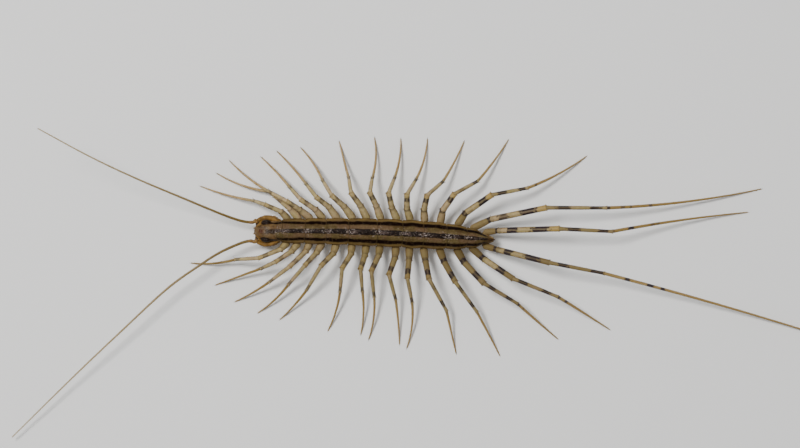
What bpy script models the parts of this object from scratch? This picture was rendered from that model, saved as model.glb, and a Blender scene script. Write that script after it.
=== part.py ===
"""House centipede, a still life-size model standing on its thirty legs.

The head points to -X, the animal's right side is +Y and the floor is at Z = 0.
Lengths are in millimetres, measured back from the front of the head and sideways from
a straight line through the head and the tail. new_object() turns them into metres.
Angles called sweep are degrees that a leg points back from square to the body.
"""

import math
from collections import namedtuple

import bmesh
import bpy
from mathutils import Vector

MM = 0.001
GAP = 0.3

# Where the front of the head stands, so that the model is centred on the origin
FRONT_X = -24.65
LINE_Y = 7.55

# Trunk
BODY_LENGTH = 32.0
BOW = 0.4
HALF_WIDTHS = ((3.0, 1.55), (5.7, 1.69), (10.7, 1.79), (15.8, 1.87), (20.9, 1.89),
               (24.7, 1.81), (27.3, 1.63), (29.8, 1.19), (31.1, 0.76), (32.0, 0.3))
CORE_LEAST = 0.3
BELLY_Z = 1.7
CORE_TOP_Z = 4.3
CORE_SQUARENESS = 0.75
TAIL_SINK = 0.1
TAIL_SINK_START = 27.0
TELSON_LENGTH = 1.0
TELSON_WIDTHS = (0.42, 0.34, 0.15)
TELSON_HEIGHTS = (0.58, 0.36, 0.14)
TELSON_Z = 3.2

# Plates on the back: the edges between them, their arch, and how far their corners round off
PLATE_EDGES = (3.4, 6.6, 9.4, 12.4, 16.2, 19.6, 22.4, 25.5, 28.2, 31.0)
PLATE_MARGIN_Z = 3.2
PLATE_RISE = 1.15
PLATE_ARCH_POWER = 2.3
PLATE_THICK = 0.32
PLATE_UNDERCUT = 0.4
PLATE_LIFT = 0.2
PLATE_OVERLAP = 0.25
PLATE_WAIST = 0.95
PLATE_FRONT_ROUND = 0.2
PLATE_REAR_ROUND = 0.25
STOMA_NOTCH = 0.3
STOMA_WIDTH = 0.1

# Lengths of trunk: name, first plate, last plate
TRUNK_LENGTHS = (("trunk_front", 1, 2), ("trunk_middle", 3, 4),
                 ("trunk_rear", 5, 7), ("trunk_hind", 8, 9))

# Head: distance from its front, half width, lowest and highest point of each section
HEAD_SECTIONS = ((0.0, 0.35, 2.8, 3.35), (0.25, 0.75, 2.5, 3.75), (0.8, 1.1, 2.3, 4.1),
                 (1.6, 1.25, 2.15, 4.3), (2.4, 1.3, 2.1, 4.3), (3.1, 1.2, 2.1, 4.15))
EYE_CENTRE = (1.6, 1.15, 3.55)
EYE_RADII = (0.64, 0.42, 0.52)

# Feelers, jaws and palps: points along their middle, and their radii
ANTENNA_RIGHT = ((0.35, 1.1, 3.3), (0.1, 1.4, 3.3), (-0.35, 1.14, 3.35), (-1.95, 1.32, 3.7),
                 (-4.6, 2.16, 4.6), (-9.8, 4.14, 6.7), (-15.6, 6.4, 9.3), (-21.4, 8.96, 12.0),
                 (-28.0, 12.3, 14.6))
ANTENNA_LEFT = ((0.35, -1.1, 3.3), (0.1, -1.45, 3.25), (-0.53, -1.36, 3.4), (-1.84, -1.74, 3.6),
                (-4.43, -3.03, 4.1), (-7.0, -4.8, 4.4), (-11.3, -8.15, 4.5), (-17.3, -14.1, 4.0),
                (-23.6, -20.5, 3.0), (-31.5, -28.8, 1.6))
ANTENNA_RADII = (0.28, 0.26, 0.12)
FORCIPULE = ((3.0, 1.62, 2.3), (2.3, 1.86, 2.25), (1.4, 1.9, 2.15), (0.6, 1.6, 1.95),
             (0.2, 1.0, 1.75), (0.3, 0.4, 1.65))
FORCIPULE_RADII = (0.28, 0.3, 0.1)
PALP = ((-0.2, 0.32, 2.6), (-0.6, 0.42, 2.35), (-0.75, 0.45, 1.8))
PALP_RADII = (0.25, 0.22, 0.12)

# Legs: distance of each pair of hips from the front of the head
HIP_STATIONS = (4.4, 5.85, 7.4, 9.05, 10.95, 13.05, 14.95, 16.8,
                18.95, 20.75, 22.65, 24.75, 27.05, 29.0, 30.8)
HIP_INSET = 0.05
COXA_LENGTH = 0.32
COXA_RISE = 0.05
COXA_ROOT_RADIUS = 0.27
HIP_Z = 2.25
FIRST_JOINT_Z = 3.6
FOOT_RADIUS = 0.13
FOOT_HEIGHT = 0.104
TOE_LENGTH = 0.4
TARSUS_STEP = 1.7
TARSUS_DROOP = 1.25
KNEE_HEIGHTS = ((1, 4.4), (4, 4.9), (12, 5.0), (13, 5.4), (14, 6.0), (15, 6.2))
ANKLE_HEIGHTS = ((1, 2.6), (12, 2.8), (13, 3.4), (14, 4.4), (15, 5.0))
LEG_RADII = {"coxa": 0.4, "prefemur": 0.46, "femur": 0.36, "tibia": 0.25, "tarsus": 0.25}
JOINT_FLARE = 1.1
JOINT_REACH = 0.34
JOINT_REACH_SHARE = 0.3
SPUR_LENGTH = 0.6
SPUR_RADIUS = 0.17
SPUR_WAIST = 0.8
SPUR_TIP = 0.04
SPUR_LEAN = 35
SPUR_SEAT = 0.3

# Seen from above: sweep of prefemur, femur, tibia and tarsus, their spans, and the tarsus's bend
LegPose = namedtuple("LegPose", "sweeps spans bend")
RIGHT_LEGS = (
    LegPose((-43, -68, -74, -77), (1.3, 2.3, 1.7, 7.5), 12),
    LegPose((-44, -51, -58, -73), (1.7, 2.6, 1.2, 7.4), 24),
    LegPose((-52, -58, -64, -55), (1.8, 2.0, 2.7, 6.9), 18),
    LegPose((-41, -58, -45, -46), (1.5, 2.3, 2.3, 5.6), -7),
    LegPose((-37, -54, -41, -44), (1.8, 2.1, 2.3, 5.9), -8),
    LegPose((-38, -50, -34, -36), (1.9, 2.2, 2.4, 5.3), -18),
    LegPose((-29, -38, -12, -17), (1.9, 2.1, 2.1, 5.0), 2),
    LegPose((-21, -28, 7, 1), (1.8, 2.0, 2.0, 5.4), -27),
    LegPose((-25, -15, 19, 7), (1.7, 2.0, 2.2, 5.3), -22),
    LegPose((-19, -2, 29, 14), (1.6, 1.9, 2.3, 5.7), -25),
    LegPose((-5, 10, 47, 26), (1.6, 1.9, 2.8, 6.1), -10),
    LegPose((9, 33, 59, 35), (1.7, 2.6, 3.6, 6.9), -10),
    LegPose((31, 53, 77, 60), (1.9, 4.2, 4.9, 9.1), -15),
    LegPose((62, 76, 88, 81), (2.8, 7.4, 8.1, 21.2), -10),
    LegPose((81, 86, 91, 80), (1.7, 8.0, 7.1, 18.7), 5),
)
LEFT_LEGS = (
    LegPose((-41, -66, -84, -83), (1.2, 3.1, 3.2, 6.1), -21),
    LegPose((-35, -54, -63, -68), (1.3, 2.5, 2.2, 6.6), 0),
    LegPose((-22, -44, -51, -58), (1.1, 2.9, 3.5, 5.4), -11),
    LegPose((-28, -40, -39, -45), (1.3, 2.3, 3.4, 5.7), -19),
    LegPose((-15, -43, -29, -40), (1.3, 2.2, 3.8, 5.4), -12),
    LegPose((-3, -29, -4, -15), (1.2, 2.2, 3.1, 5.6), -20),
    LegPose((-4, -15, 6, 0), (1.3, 1.9, 2.9, 5.9), -20),
    LegPose((-6, -23, 8, -5), (1.3, 2.2, 3.4, 5.9), -23),
    LegPose((-3, -18, 17, 7), (1.5, 2.3, 3.4, 6.1), -7),
    LegPose((0, -3, 13, -4), (1.6, 2.4, 3.3, 6.3), -25),
    LegPose((10, 13, 31, 15), (1.7, 2.4, 4.9, 5.9), 0),
    LegPose((22, 31, 38, 30), (1.8, 3.0, 5.0, 6.7), -2),
    LegPose((31, 45, 61, 51), (2.0, 3.8, 5.3, 7.3), 2),
    LegPose((50, 58, 70, 60), (2.3, 4.5, 6.5, 8.5), -2),
    LegPose((76, 78, 81, 76), (1.7, 7.0, 7.5, 34.8), -3),
)
SIDES = (("right", 1, RIGHT_LEGS, ANTENNA_RIGHT), ("left", -1, LEFT_LEGS, ANTENNA_LEFT))
# The second and third right legs cross, so one is held low and the other high
HEIGHT_CHANGES = {("right", 2): (-0.5, -1.2, -0.6), ("right", 3): (0.3, 0.6, 1.4)}

# Colours
AMBER = (0.34, 0.18, 0.05)
OLIVE = (0.23, 0.17, 0.09)
DARK = (0.02, 0.012, 0.012)
TAN = (0.42, 0.31, 0.17)


def ramp(position, stops):
    """The value at a position on straight lines between (position, value) stops."""
    if position <= stops[0][0]:
        return stops[0][1]
    for (start, low), (end, high) in zip(stops, stops[1:]):
        if position <= end:
            return low + (high - low) * (position - start) / (end - start)
    return stops[-1][1]


def half_width(x):
    return ramp(x, HALF_WIDTHS)


def core_width(x):
    """Half the width of the soft trunk, which leaves room for the hips under the plates."""
    return max(half_width(x) - HIP_INSET - COXA_LENGTH - GAP, CORE_LEAST)


def middle(x):
    """How far the trunk's middle bows to the right of the straight line."""
    return BOW * math.sin(math.pi * max(x, 0.0) / BODY_LENGTH)


def smooth_points(stops, steps):
    """Points on a smooth curve through the stops, with some steps between each two."""
    stops = [Vector(stop) for stop in stops]
    padded = [2 * stops[0] - stops[1]] + stops + [2 * stops[-1] - stops[-2]]
    points = []
    for a, b, c, d in zip(padded, padded[1:], padded[2:], padded[3:]):
        for step in range(steps):
            t = step / steps
            points.append(0.5 * (2 * b + (c - a) * t + (2 * a - 5 * b + 4 * c - d) * t ** 2
                                 + (3 * b - a - 3 * c + d) * t ** 3))
    return points + [stops[-1]]


def new_object(name, mesh_maker, parent=None):
    """A mesh object from a bmesh in millimetres, with its faces turned outwards."""
    bmesh.ops.recalc_face_normals(mesh_maker, faces=mesh_maker.faces)
    bmesh.ops.scale(mesh_maker, vec=(MM, MM, MM), verts=mesh_maker.verts)
    mesh = bpy.data.meshes.new(name)
    mesh_maker.to_mesh(mesh)
    mesh_maker.free()
    obj = bpy.data.objects.new(name, mesh)
    bpy.context.scene.collection.objects.link(obj)
    obj.parent = parent
    return obj


def finish(obj, colour, roughness=0.45):
    """Gives a piece its own material and smooth shading."""
    material = bpy.data.materials.new(obj.name)
    material.use_nodes = True
    shader = material.node_tree.nodes["Principled BSDF"]
    shader.inputs["Base Color"].default_value = (*colour, 1.0)
    shader.inputs["Roughness"].default_value = roughness
    shader.inputs["Metallic"].default_value = 0.0
    obj.data.materials.clear()
    obj.data.materials.append(material)
    obj.data.shade_smooth()
    obj.data.set_sharp_from_angle(angle=math.radians(40))
    return obj


def loft(rings):
    """A closed bmesh through rings of points, capped at both ends."""
    shape = bmesh.new()
    rows = [[shape.verts.new(point) for point in ring] for ring in rings]
    for row, following in zip(rows, rows[1:]):
        for k in range(len(row)):
            after = (k + 1) % len(row)
            shape.faces.new((row[k], row[after], following[after], following[k]))
    shape.faces.new(rows[0][::-1])
    shape.faces.new(rows[-1])
    return shape


def tube(points, radii, sides=6):
    """A closed tube along points, with a flat side down, cut off level at the floor."""
    rings = []
    last = len(points) - 1
    for index, (point, radius) in enumerate(zip(points, radii)):
        along = (points[min(index + 1, last)] - points[max(index - 1, 0)]).normalized()
        across = along.cross(Vector((0, 0, 1))).normalized()
        up = across.cross(along)
        ring = []
        for side in range(sides):
            angle = 2 * math.pi * (side + 0.5) / sides
            spot = point + radius * (math.sin(angle) * across - math.cos(angle) * up)
            ring.append((spot.x, spot.y, max(spot.z, 0.0)))
        rings.append(ring)
    return loft(rings)


def ball(centre, radii, segments=14, rings=9):
    """An ellipsoid."""
    shape = bmesh.new()
    bmesh.ops.create_uvsphere(shape, u_segments=segments, v_segments=rings, radius=1.0)
    bmesh.ops.scale(shape, vec=radii, verts=shape.verts)
    bmesh.ops.translate(shape, vec=centre, verts=shape.verts)
    return shape


def fuse(obj, pieces):
    """Joins closed pieces to an object by one union, and keeps its largest closed surface."""
    group = bpy.data.collections.new(obj.name + "_pieces")
    bpy.context.scene.collection.children.link(group)
    for piece in pieces:
        bpy.context.scene.collection.objects.unlink(piece)
        group.objects.link(piece)
    union = obj.modifiers.new("union", "BOOLEAN")
    union.operation = "UNION"
    union.solver = "EXACT"
    union.operand_type = "COLLECTION"
    union.collection = group
    apply_modifiers(obj)
    for piece in pieces:
        bpy.data.objects.remove(piece)
    bpy.data.collections.remove(group)
    keep_largest(obj)


def cut(obj, cutter):
    """Takes a closed cutter out of an object."""
    cutter.hide_render = True
    cutter.display_type = "WIRE"
    difference = obj.modifiers.new("cut", "BOOLEAN")
    difference.operation = "DIFFERENCE"
    difference.solver = "EXACT"
    difference.object = cutter
    apply_modifiers(obj)
    bpy.data.objects.remove(cutter)
    keep_largest(obj)


def apply_modifiers(obj):
    bpy.context.view_layer.update()
    graph = bpy.context.evaluated_depsgraph_get()
    mesh = bpy.data.meshes.new_from_object(obj.evaluated_get(graph))
    obj.modifiers.clear()
    obj.data = mesh


def keep_largest(obj):
    """Drops every closed surface of the mesh but the largest."""
    shape = bmesh.new()
    shape.from_mesh(obj.data)
    unseen = set(shape.verts)
    islands = []
    while unseen:
        stack = [unseen.pop()]
        island = set(stack)
        while stack:
            for edge in stack.pop().link_edges:
                for vert in edge.verts:
                    if vert in unseen:
                        unseen.remove(vert)
                        island.add(vert)
                        stack.append(vert)
        islands.append(island)
    islands.sort(key=len)
    for island in islands[:-1]:
        bmesh.ops.delete(shape, geom=list(island), context="VERTS")
    shape.to_mesh(obj.data)
    shape.free()


def trunk_core(name, start, end, parent):
    """The soft part of a length of trunk, a flattened round bar under the plates."""
    steps = max(3, round((end - start) / 1.2))
    rings = []
    for step in range(steps + 1):
        x = start + (end - start) * step / steps
        rings.append([trunk_point(x, 2 * math.pi * k / 12) for k in range(12)])
    return new_object(name, loft(rings), parent)


def trunk_point(x, angle):
    """A point on the trunk's soft part, by its angle round from the top."""
    centre = (BELLY_Z + core_top(x)) / 2
    high = (core_top(x) - BELLY_Z) / 2
    across, up = squared(math.sin(angle)), squared(math.cos(angle))
    return (x, middle(x) + core_width(x) * across, centre + high * up)


def squared(value):
    """Pushes a sine or cosine outwards, which makes a round section squarer."""
    return math.copysign(abs(value) ** CORE_SQUARENESS, value)


def core_top(x):
    return CORE_TOP_Z - TAIL_SINK * max(0.0, x - TAIL_SINK_START)


def plate_point(start, end, rear_room, s, t):
    """A point on a plate's top, from its share s across and its share t along."""
    notch = STOMA_NOTCH * math.exp(-(s / STOMA_WIDTH) ** 2)
    rear = end + rear_room - notch - PLATE_REAR_ROUND * s ** 4
    x = start + PLATE_FRONT_ROUND * s ** 4 * (1 - t) + (rear - start) * t
    waist = PLATE_WAIST + (1 - PLATE_WAIST) * math.sin(math.pi * t)
    y = middle(x) + half_width(min(x, end)) * waist * s
    z = PLATE_MARGIN_Z + PLATE_RISE * (1 - abs(s) ** PLATE_ARCH_POWER) + PLATE_LIFT * t
    return x, y, z + core_top(x) - CORE_TOP_Z


def plate(name, start, end, rear_room, parent):
    """One arched plate of the back, with a notch in its rear edge for the stoma."""
    across = (-1.0, -0.9, -0.65, -0.35, -0.12, 0.0, 0.12, 0.35, 0.65, 0.9, 1.0)
    along = (0.0, 0.2, 0.5, 0.85, 1.0)
    shape = bmesh.new()
    layers = []
    for drop in (0.0, PLATE_THICK):
        layer = []
        for t in along:
            row = []
            for s in across:
                x, y, z = plate_point(start, end, rear_room, s, t)
                row.append(shape.verts.new((x, y - PLATE_UNDERCUT * drop * s, z - drop)))
            layer.append(row)
        layers.append(layer)
    top, bottom = layers
    rows, columns = len(along), len(across)
    for i in range(rows - 1):
        for j in range(columns - 1):
            shape.faces.new((top[i][j], top[i][j + 1], top[i + 1][j + 1], top[i + 1][j]))
            shape.faces.new((bottom[i][j], bottom[i + 1][j], bottom[i + 1][j + 1], bottom[i][j + 1]))
    rim = [(0, j) for j in range(columns)] + [(i, columns - 1) for i in range(1, rows)]
    rim += [(rows - 1, j) for j in range(columns - 2, -1, -1)] + [(i, 0) for i in range(rows - 2, 0, -1)]
    for (i, j), (k, m) in zip(rim, rim[1:] + rim[:1]):
        shape.faces.new((top[i][j], bottom[i][j], bottom[k][m], top[k][m]))
    return new_object(name, shape, parent)


def make_telson(parent):
    """The small blunt tail end, behind the last plate."""
    start = PLATE_EDGES[-1] + GAP / 2
    rings = []
    for step, (wide, high) in enumerate(zip(TELSON_WIDTHS, TELSON_HEIGHTS)):
        x = start + TELSON_LENGTH * step / 2
        angles = [2 * math.pi * k / 8 for k in range(8)]
        rings.append([(x, middle(x) + wide * math.sin(angle), TELSON_Z + high * math.cos(angle))
                      for angle in angles])
    finish(new_object("telson", loft(rings), parent), AMBER)


def make_trunk(parent):
    """The four lengths of trunk with their plates."""
    for name, first, last in TRUNK_LENGTHS:
        start = PLATE_EDGES[first - 1] + GAP / 2
        end = PLATE_EDGES[last] - GAP / 2
        body = trunk_core(name, start, end, parent)
        plates = []
        for number in range(first, last + 1):
            front = PLATE_EDGES[number - 1]
            if number == first:
                front = start
            rear_room = PLATE_OVERLAP if number < last else -GAP / 2
            plates.append(plate(f"{name}_plate_{number}", front, PLATE_EDGES[number],
                                rear_room, parent))
        fuse(body, plates)
        finish(body, OLIVE)


def make_head(parent):
    """The head capsule with a socket for each eye, the eyes, jaws and palps."""
    rings = []
    for x, wide, low, high in HEAD_SECTIONS:
        ring = []
        for k in range(14):
            angle = 2 * math.pi * k / 14
            ring.append((x, middle(x) + wide * math.sin(angle),
                         (low + high) / 2 + (high - low) / 2 * math.cos(angle)))
        rings.append(ring)
    head = new_object("head", loft(rings), parent)
    for name, side, _, _ in SIDES:
        centre = (EYE_CENTRE[0], side * EYE_CENTRE[1] + middle(EYE_CENTRE[0]), EYE_CENTRE[2])
        socket = new_object("socket", ball(centre, [radius + GAP for radius in EYE_RADII]), parent)
        cut(head, socket)
        finish(new_object("eye_" + name, ball(centre, EYE_RADII), parent), DARK, 0.2)
        for piece, stops, radii in (("forcipule_", FORCIPULE, FORCIPULE_RADII), ("palp_", PALP, PALP_RADII)):
            points = smooth_points([(x, side * y + middle(x), z) for x, y, z in stops], 2)
            finish(new_object(piece + name, taper(points, radii), parent), AMBER)
    finish(head, OLIVE)


def taper(points, radii, sides=6):
    """A tube whose radius runs through the start, middle and end values."""
    last = len(points) - 1
    stops = ((0.0, radii[0]), (0.5, radii[1]), (1.0, radii[2]))
    return tube(points, [ramp(index / last, stops) for index in range(last + 1)], sides)


def make_antennae(parent):
    for name, _, _, stops in SIDES:
        points = smooth_points(stops, 3)
        finish(new_object("antenna_" + name, taper(points, ANTENNA_RADII), parent), AMBER)


def heading(side, sweep):
    """The direction over the floor that a sweep angle means on one side of the body."""
    turn = math.radians(sweep)
    return Vector((math.sin(turn), side * math.cos(turn), 0.0))


def leg_joints(name, side, pair, pose):
    """The root, hip, first joint, knee and ankle of a leg, and the points of its tarsus."""
    x = HIP_STATIONS[pair - 1]
    core = core_width(x)
    out = core + GAP + COXA_LENGTH
    changes = HEIGHT_CHANGES.get((name, pair), (0.0, 0.0, 0.0))
    root = Vector((x, middle(x) + side * (core + GAP), HIP_Z))
    hip = Vector((x, middle(x) + side * out, HIP_Z + COXA_RISE))
    heights = (FIRST_JOINT_Z + changes[0], ramp(pair, KNEE_HEIGHTS) + changes[1],
               ramp(pair, ANKLE_HEIGHTS) + changes[2])
    joints = [root, hip]
    for sweep, span, z in zip(pose.sweeps, pose.spans, heights):
        spot = joints[-1] + span * heading(side, sweep)
        joints.append(Vector((spot.x, spot.y, z)))
    return joints, tarsus_points(side, pose, joints[-1])


def tarsus_points(side, pose, ankle):
    """Points along the tarsus, which bends evenly over the floor and comes down to it."""
    length = pose.spans[3]
    steps = max(5, round(length / TARSUS_STEP))
    points = []
    spot = ankle.copy()
    for step in range(1, steps + 1):
        turn = pose.sweeps[3] + pose.bend * ((step - 0.5) / steps - 0.5)
        spot = spot + length / steps * heading(side, turn)
        left = 1 - step / steps
        height = FOOT_HEIGHT + (ankle.z - FOOT_HEIGHT) * left ** TARSUS_DROOP
        points.append(Vector((spot.x, spot.y, height)))
    toe = points[-1] + TOE_LENGTH * (points[-1] - points[-2]).normalized()
    points.append(Vector((toe.x, toe.y, FOOT_HEIGHT)))
    return points


def leg_outline(joints, tarsus):
    """Points and radii along a whole leg, with each joint a little wider."""
    root, hip, first, knee, ankle = joints
    radii = LEG_RADII
    points = [root, hip]
    sizes = [COXA_ROOT_RADIUS, radii["coxa"]]
    parts = ((hip, first, "prefemur"), (first, knee, "femur"), (knee, ankle, "tibia"))
    for start, end, part in parts:
        length = (end - start).length
        reach = min(JOINT_REACH, JOINT_REACH_SHARE * length)
        for distance, size in ((reach, 1.0), (length - reach, JOINT_FLARE)):
            points.append(start.lerp(end, distance / length))
            sizes.append(radii[part] * size)
        points.append(end)
        sizes.append(radii[part])
    steps = len(tarsus)
    for index, point in enumerate(tarsus):
        share = (index + 1) / steps
        points.append(point)
        sizes.append(radii["tarsus"] + (FOOT_RADIUS - radii["tarsus"]) * share ** 2)
    return points, sizes


def spur(start, end, side_turn, part):
    """A stout spur at the far end of a leg's segment, leaning out from it."""
    along = (end - start).normalized()
    across = along.cross(Vector((0, 0, 1))).normalized()
    up = across.cross(along)
    turn = math.radians(side_turn)
    outward = math.cos(turn) * up + math.sin(turn) * across
    base = end - JOINT_REACH * along + SPUR_SEAT * LEG_RADII[part] * outward
    lean = math.radians(SPUR_LEAN)
    direction = math.cos(lean) * along + math.sin(lean) * outward
    tip = base + (SPUR_LENGTH + LEG_RADII[part]) * direction
    radii = (SPUR_RADIUS, SPUR_WAIST * SPUR_RADIUS, SPUR_TIP)
    return tube([base, base.lerp(tip, 0.5), tip], radii, 4)


def make_legs(parent):
    """Thirty legs, each a jointed tube with spurs at the ends of its segments."""
    for name, side, poses, _ in SIDES:
        for pair, pose in enumerate(poses, start=1):
            joints, tarsus = leg_joints(name, side, pair, pose)
            points, sizes = leg_outline(joints, tarsus)
            leg = new_object(f"leg_{name}_{pair:02d}", tube(points, sizes), parent)
            _, hip, first, knee, ankle = joints
            spurs = [spur(hip, first, 0, "prefemur")]
            spurs += [spur(first, knee, turn, "femur") for turn in (-50, 50)]
            spurs += [spur(knee, ankle, 180, "tibia")]
            fuse(leg, [new_object("spur", shape, parent) for shape in spurs])
            finish(leg, TAN)


def main():
    for obj in list(bpy.data.objects):
        bpy.data.objects.remove(obj)
    centipede = bpy.data.objects.new("centipede", None)
    bpy.context.scene.collection.objects.link(centipede)
    centipede.location = (FRONT_X * MM, LINE_Y * MM, 0.0)
    make_trunk(centipede)
    make_telson(centipede)
    make_head(centipede)
    make_antennae(centipede)
    make_legs(centipede)


main()
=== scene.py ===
"""House centipede, a still life-size model: the finish of every piece round its frame.

Lengths in the tables and the shape functions are millimetres: x runs back from the front
of the head, y to the animal's right from a straight line through head and tail, and z up
from the floor. to_frame() turns them into metres of the frame. Sizes that a user may
change are metres. Angles called sweep are degrees that a leg points back from square.
"""

import math
from collections import namedtuple

import bmesh
import bpy
import numpy as np
from bpy.props import FloatProperty, FloatVectorProperty, IntProperty, PointerProperty
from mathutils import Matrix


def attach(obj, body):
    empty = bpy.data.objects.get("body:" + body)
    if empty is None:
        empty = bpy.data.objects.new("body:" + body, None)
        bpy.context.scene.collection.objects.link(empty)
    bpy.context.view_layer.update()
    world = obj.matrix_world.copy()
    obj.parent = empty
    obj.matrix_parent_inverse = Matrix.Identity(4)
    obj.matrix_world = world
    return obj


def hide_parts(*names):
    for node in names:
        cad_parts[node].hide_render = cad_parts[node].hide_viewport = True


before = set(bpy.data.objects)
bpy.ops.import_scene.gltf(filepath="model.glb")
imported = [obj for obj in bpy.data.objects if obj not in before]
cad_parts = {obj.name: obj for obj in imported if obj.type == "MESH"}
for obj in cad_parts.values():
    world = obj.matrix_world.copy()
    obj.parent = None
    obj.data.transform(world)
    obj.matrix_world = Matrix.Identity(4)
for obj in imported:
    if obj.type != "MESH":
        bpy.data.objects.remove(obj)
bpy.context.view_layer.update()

bl_info = {
    "name": "House centipede model",
    "version": (1, 0, 0),
    "blender": (4, 5, 0),
    "location": "3D View > Sidebar > Centipede",
    "description": "Dresses the frame of a still house centipede with its skin, plates and legs",
    "category": "Add Mesh",
}

MM = 0.001
BODY = "root"

# Where the front of the head stands in the frame
FRONT_X = -24.65
LINE_Y = 7.55

# Trunk, as in the solids
BODY_LENGTH = 32.0
BOW = 0.4
HALF_WIDTHS = ((3.0, 1.55), (5.7, 1.69), (10.7, 1.79), (15.8, 1.87), (20.9, 1.89),
               (24.7, 1.81), (27.3, 1.63), (29.8, 1.19), (31.1, 0.76), (32.0, 0.3))
HIP_INSET = 0.05
COXA_LENGTH = 0.32
COXA_RISE = 0.05
GAP = 0.3
CORE_LEAST = 0.3
BELLY_Z = 1.7
CORE_TOP_Z = 4.3
CORE_SQUARENESS = 0.75
TAIL_SINK = 0.1
TAIL_SINK_START = 27.0

# Plates of the back: the edges between them, and their arch
PLATE_EDGES = (2.35, 3.5, 6.6, 9.4, 12.4, 16.2, 19.6, 22.4, 25.5, 28.2, 31.3)
PLATE_MARGIN_Z = 3.2
PLATE_RISE = 1.15
PLATE_ARCH_POWER = 2.3
PLATE_LIFT = 0.1
PLATE_OVERLAP = 0.25
PLATE_WAIST = 0.95
PLATE_FRONT_ROUND = 0.2
PLATE_REAR_ROUND = 0.25
NECK_ROUND = 0.5
NECK_WIDTHS = ((0.0, 1.18), (1.0, 1.46))
TAIL_ROUND = 1.4
STOMA_NOTCH = 0.3
STOMA_WIDTH = 0.1

# Head: distance from its front, half width, lowest and highest point of each section
HEAD_SECTIONS = ((-0.05, 0.18, 2.85, 3.15), (0.02, 0.42, 2.6, 3.5), (0.25, 0.74, 2.4, 3.82),
                 (0.8, 1.08, 2.25, 4.18), (1.6, 1.28, 2.1, 4.4), (2.4, 1.36, 2.05, 4.42),
                 (2.9, 1.32, 2.1, 4.3), (3.2, 1.1, 2.3, 4.0))
CHEEK = ((0.25, 1.15, 3.1), (0.5, 1.45, 3.0), (1.1, 1.7, 2.9), (1.7, 1.74, 2.88),
         (2.4, 1.6, 2.9), (3.0, 1.38, 2.9), (3.5, 1.05, 2.9))
JOWL = ((0.5, 0.55, 2.85), (0.75, 0.9, 2.85), (1.15, 1.22, 2.85), (1.6, 1.3, 2.8))
EYE_CENTRE = (1.56, 1.08, 3.68)
EYE_RADII = (0.66, 0.42, 0.5)

# Feelers and mouthparts: points along their middle on the right side, and their radii
ANTENNA_RIGHT = ((0.35, 1.1, 3.3), (0.1, 1.4, 3.3), (-0.35, 1.14, 3.35), (-1.95, 1.32, 3.7),
                 (-4.6, 2.16, 4.6), (-9.8, 4.14, 6.7), (-15.6, 6.4, 9.3), (-21.4, 8.96, 12.0),
                 (-28.0, 12.3, 14.6))
ANTENNA_LEFT = ((0.35, -1.1, 3.3), (0.1, -1.45, 3.25), (-0.53, -1.36, 3.4), (-1.84, -1.74, 3.6),
                (-4.43, -3.03, 4.1), (-7.0, -4.8, 4.4), (-11.3, -8.15, 4.5), (-17.3, -14.1, 4.0),
                (-23.6, -20.5, 3.0), (-31.5, -28.8, 1.6))
JAW_RADII = ((0.0, 0.3), (0.15, 0.36), (0.45, 0.34), (0.62, 0.27), (0.8, 0.18), (1.0, 0.03))
FORCIPULE = ((3.0, 1.52, 2.3), (2.3, 1.72, 2.25), (1.4, 1.76, 2.15), (0.6, 1.5, 1.95),
             (0.2, 1.0, 1.75), (0.3, 0.4, 1.65))
PALP = ((0.3, 0.32, 2.35), (0.08, 0.34, 2.4), (-0.08, 0.37, 2.3), (-0.16, 0.39, 2.05))

# Legs: distance of each pair of hips from the front of the head, and heights of the joints
HIP_STATIONS = (4.4, 5.85, 7.4, 9.05, 10.95, 13.05, 14.95, 16.8,
                18.95, 20.75, 22.65, 24.75, 27.05, 29.0, 30.8)
HIP_Z = 2.25
FIRST_JOINT_Z = 3.6
KNEE_HEIGHTS = ((1, 4.4), (4, 4.9), (12, 5.0), (13, 5.4), (14, 6.0), (15, 6.2))
ANKLE_HEIGHTS = ((1, 2.6), (12, 2.8), (13, 3.4), (14, 4.4), (15, 5.0))
FOOT_HEIGHT = 0.08
TARSUS_DROOP = 1.25
TOE_LENGTH = 0.1
CLAW_LENGTH = 0.24

# Seen from above: sweep of prefemur, femur, tibia and tarsus, their spans, and the tarsus's bend
LegPose = namedtuple("LegPose", "sweeps spans bend")
RIGHT_LEGS = (
    LegPose((-43, -68, -74, -77), (1.3, 2.3, 1.7, 7.5), 12),
    LegPose((-44, -51, -58, -73), (1.7, 2.6, 1.2, 7.4), 24),
    LegPose((-52, -58, -64, -55), (1.8, 2.0, 2.7, 6.9), 18),
    LegPose((-41, -58, -45, -46), (1.5, 2.3, 2.3, 5.6), -7),
    LegPose((-37, -54, -41, -44), (1.8, 2.1, 2.3, 5.9), -8),
    LegPose((-38, -50, -34, -36), (1.9, 2.2, 2.4, 5.3), -18),
    LegPose((-29, -38, -12, -17), (1.9, 2.1, 2.1, 5.0), 2),
    LegPose((-21, -28, 7, 1), (1.8, 2.0, 2.0, 5.4), -27),
    LegPose((-25, -15, 19, 7), (1.7, 2.0, 2.2, 5.3), -22),
    LegPose((-19, -2, 29, 14), (1.6, 1.9, 2.3, 5.7), -25),
    LegPose((-5, 10, 47, 26), (1.6, 1.9, 2.8, 6.1), -10),
    LegPose((9, 33, 59, 35), (1.7, 2.6, 3.6, 6.9), -10),
    LegPose((31, 53, 77, 60), (1.9, 4.2, 4.9, 9.1), -15),
    LegPose((62, 76, 88, 81), (2.8, 7.4, 8.1, 21.2), -10),
    LegPose((81, 86, 91, 80), (1.7, 8.0, 7.1, 18.7), 5),
)
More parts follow.
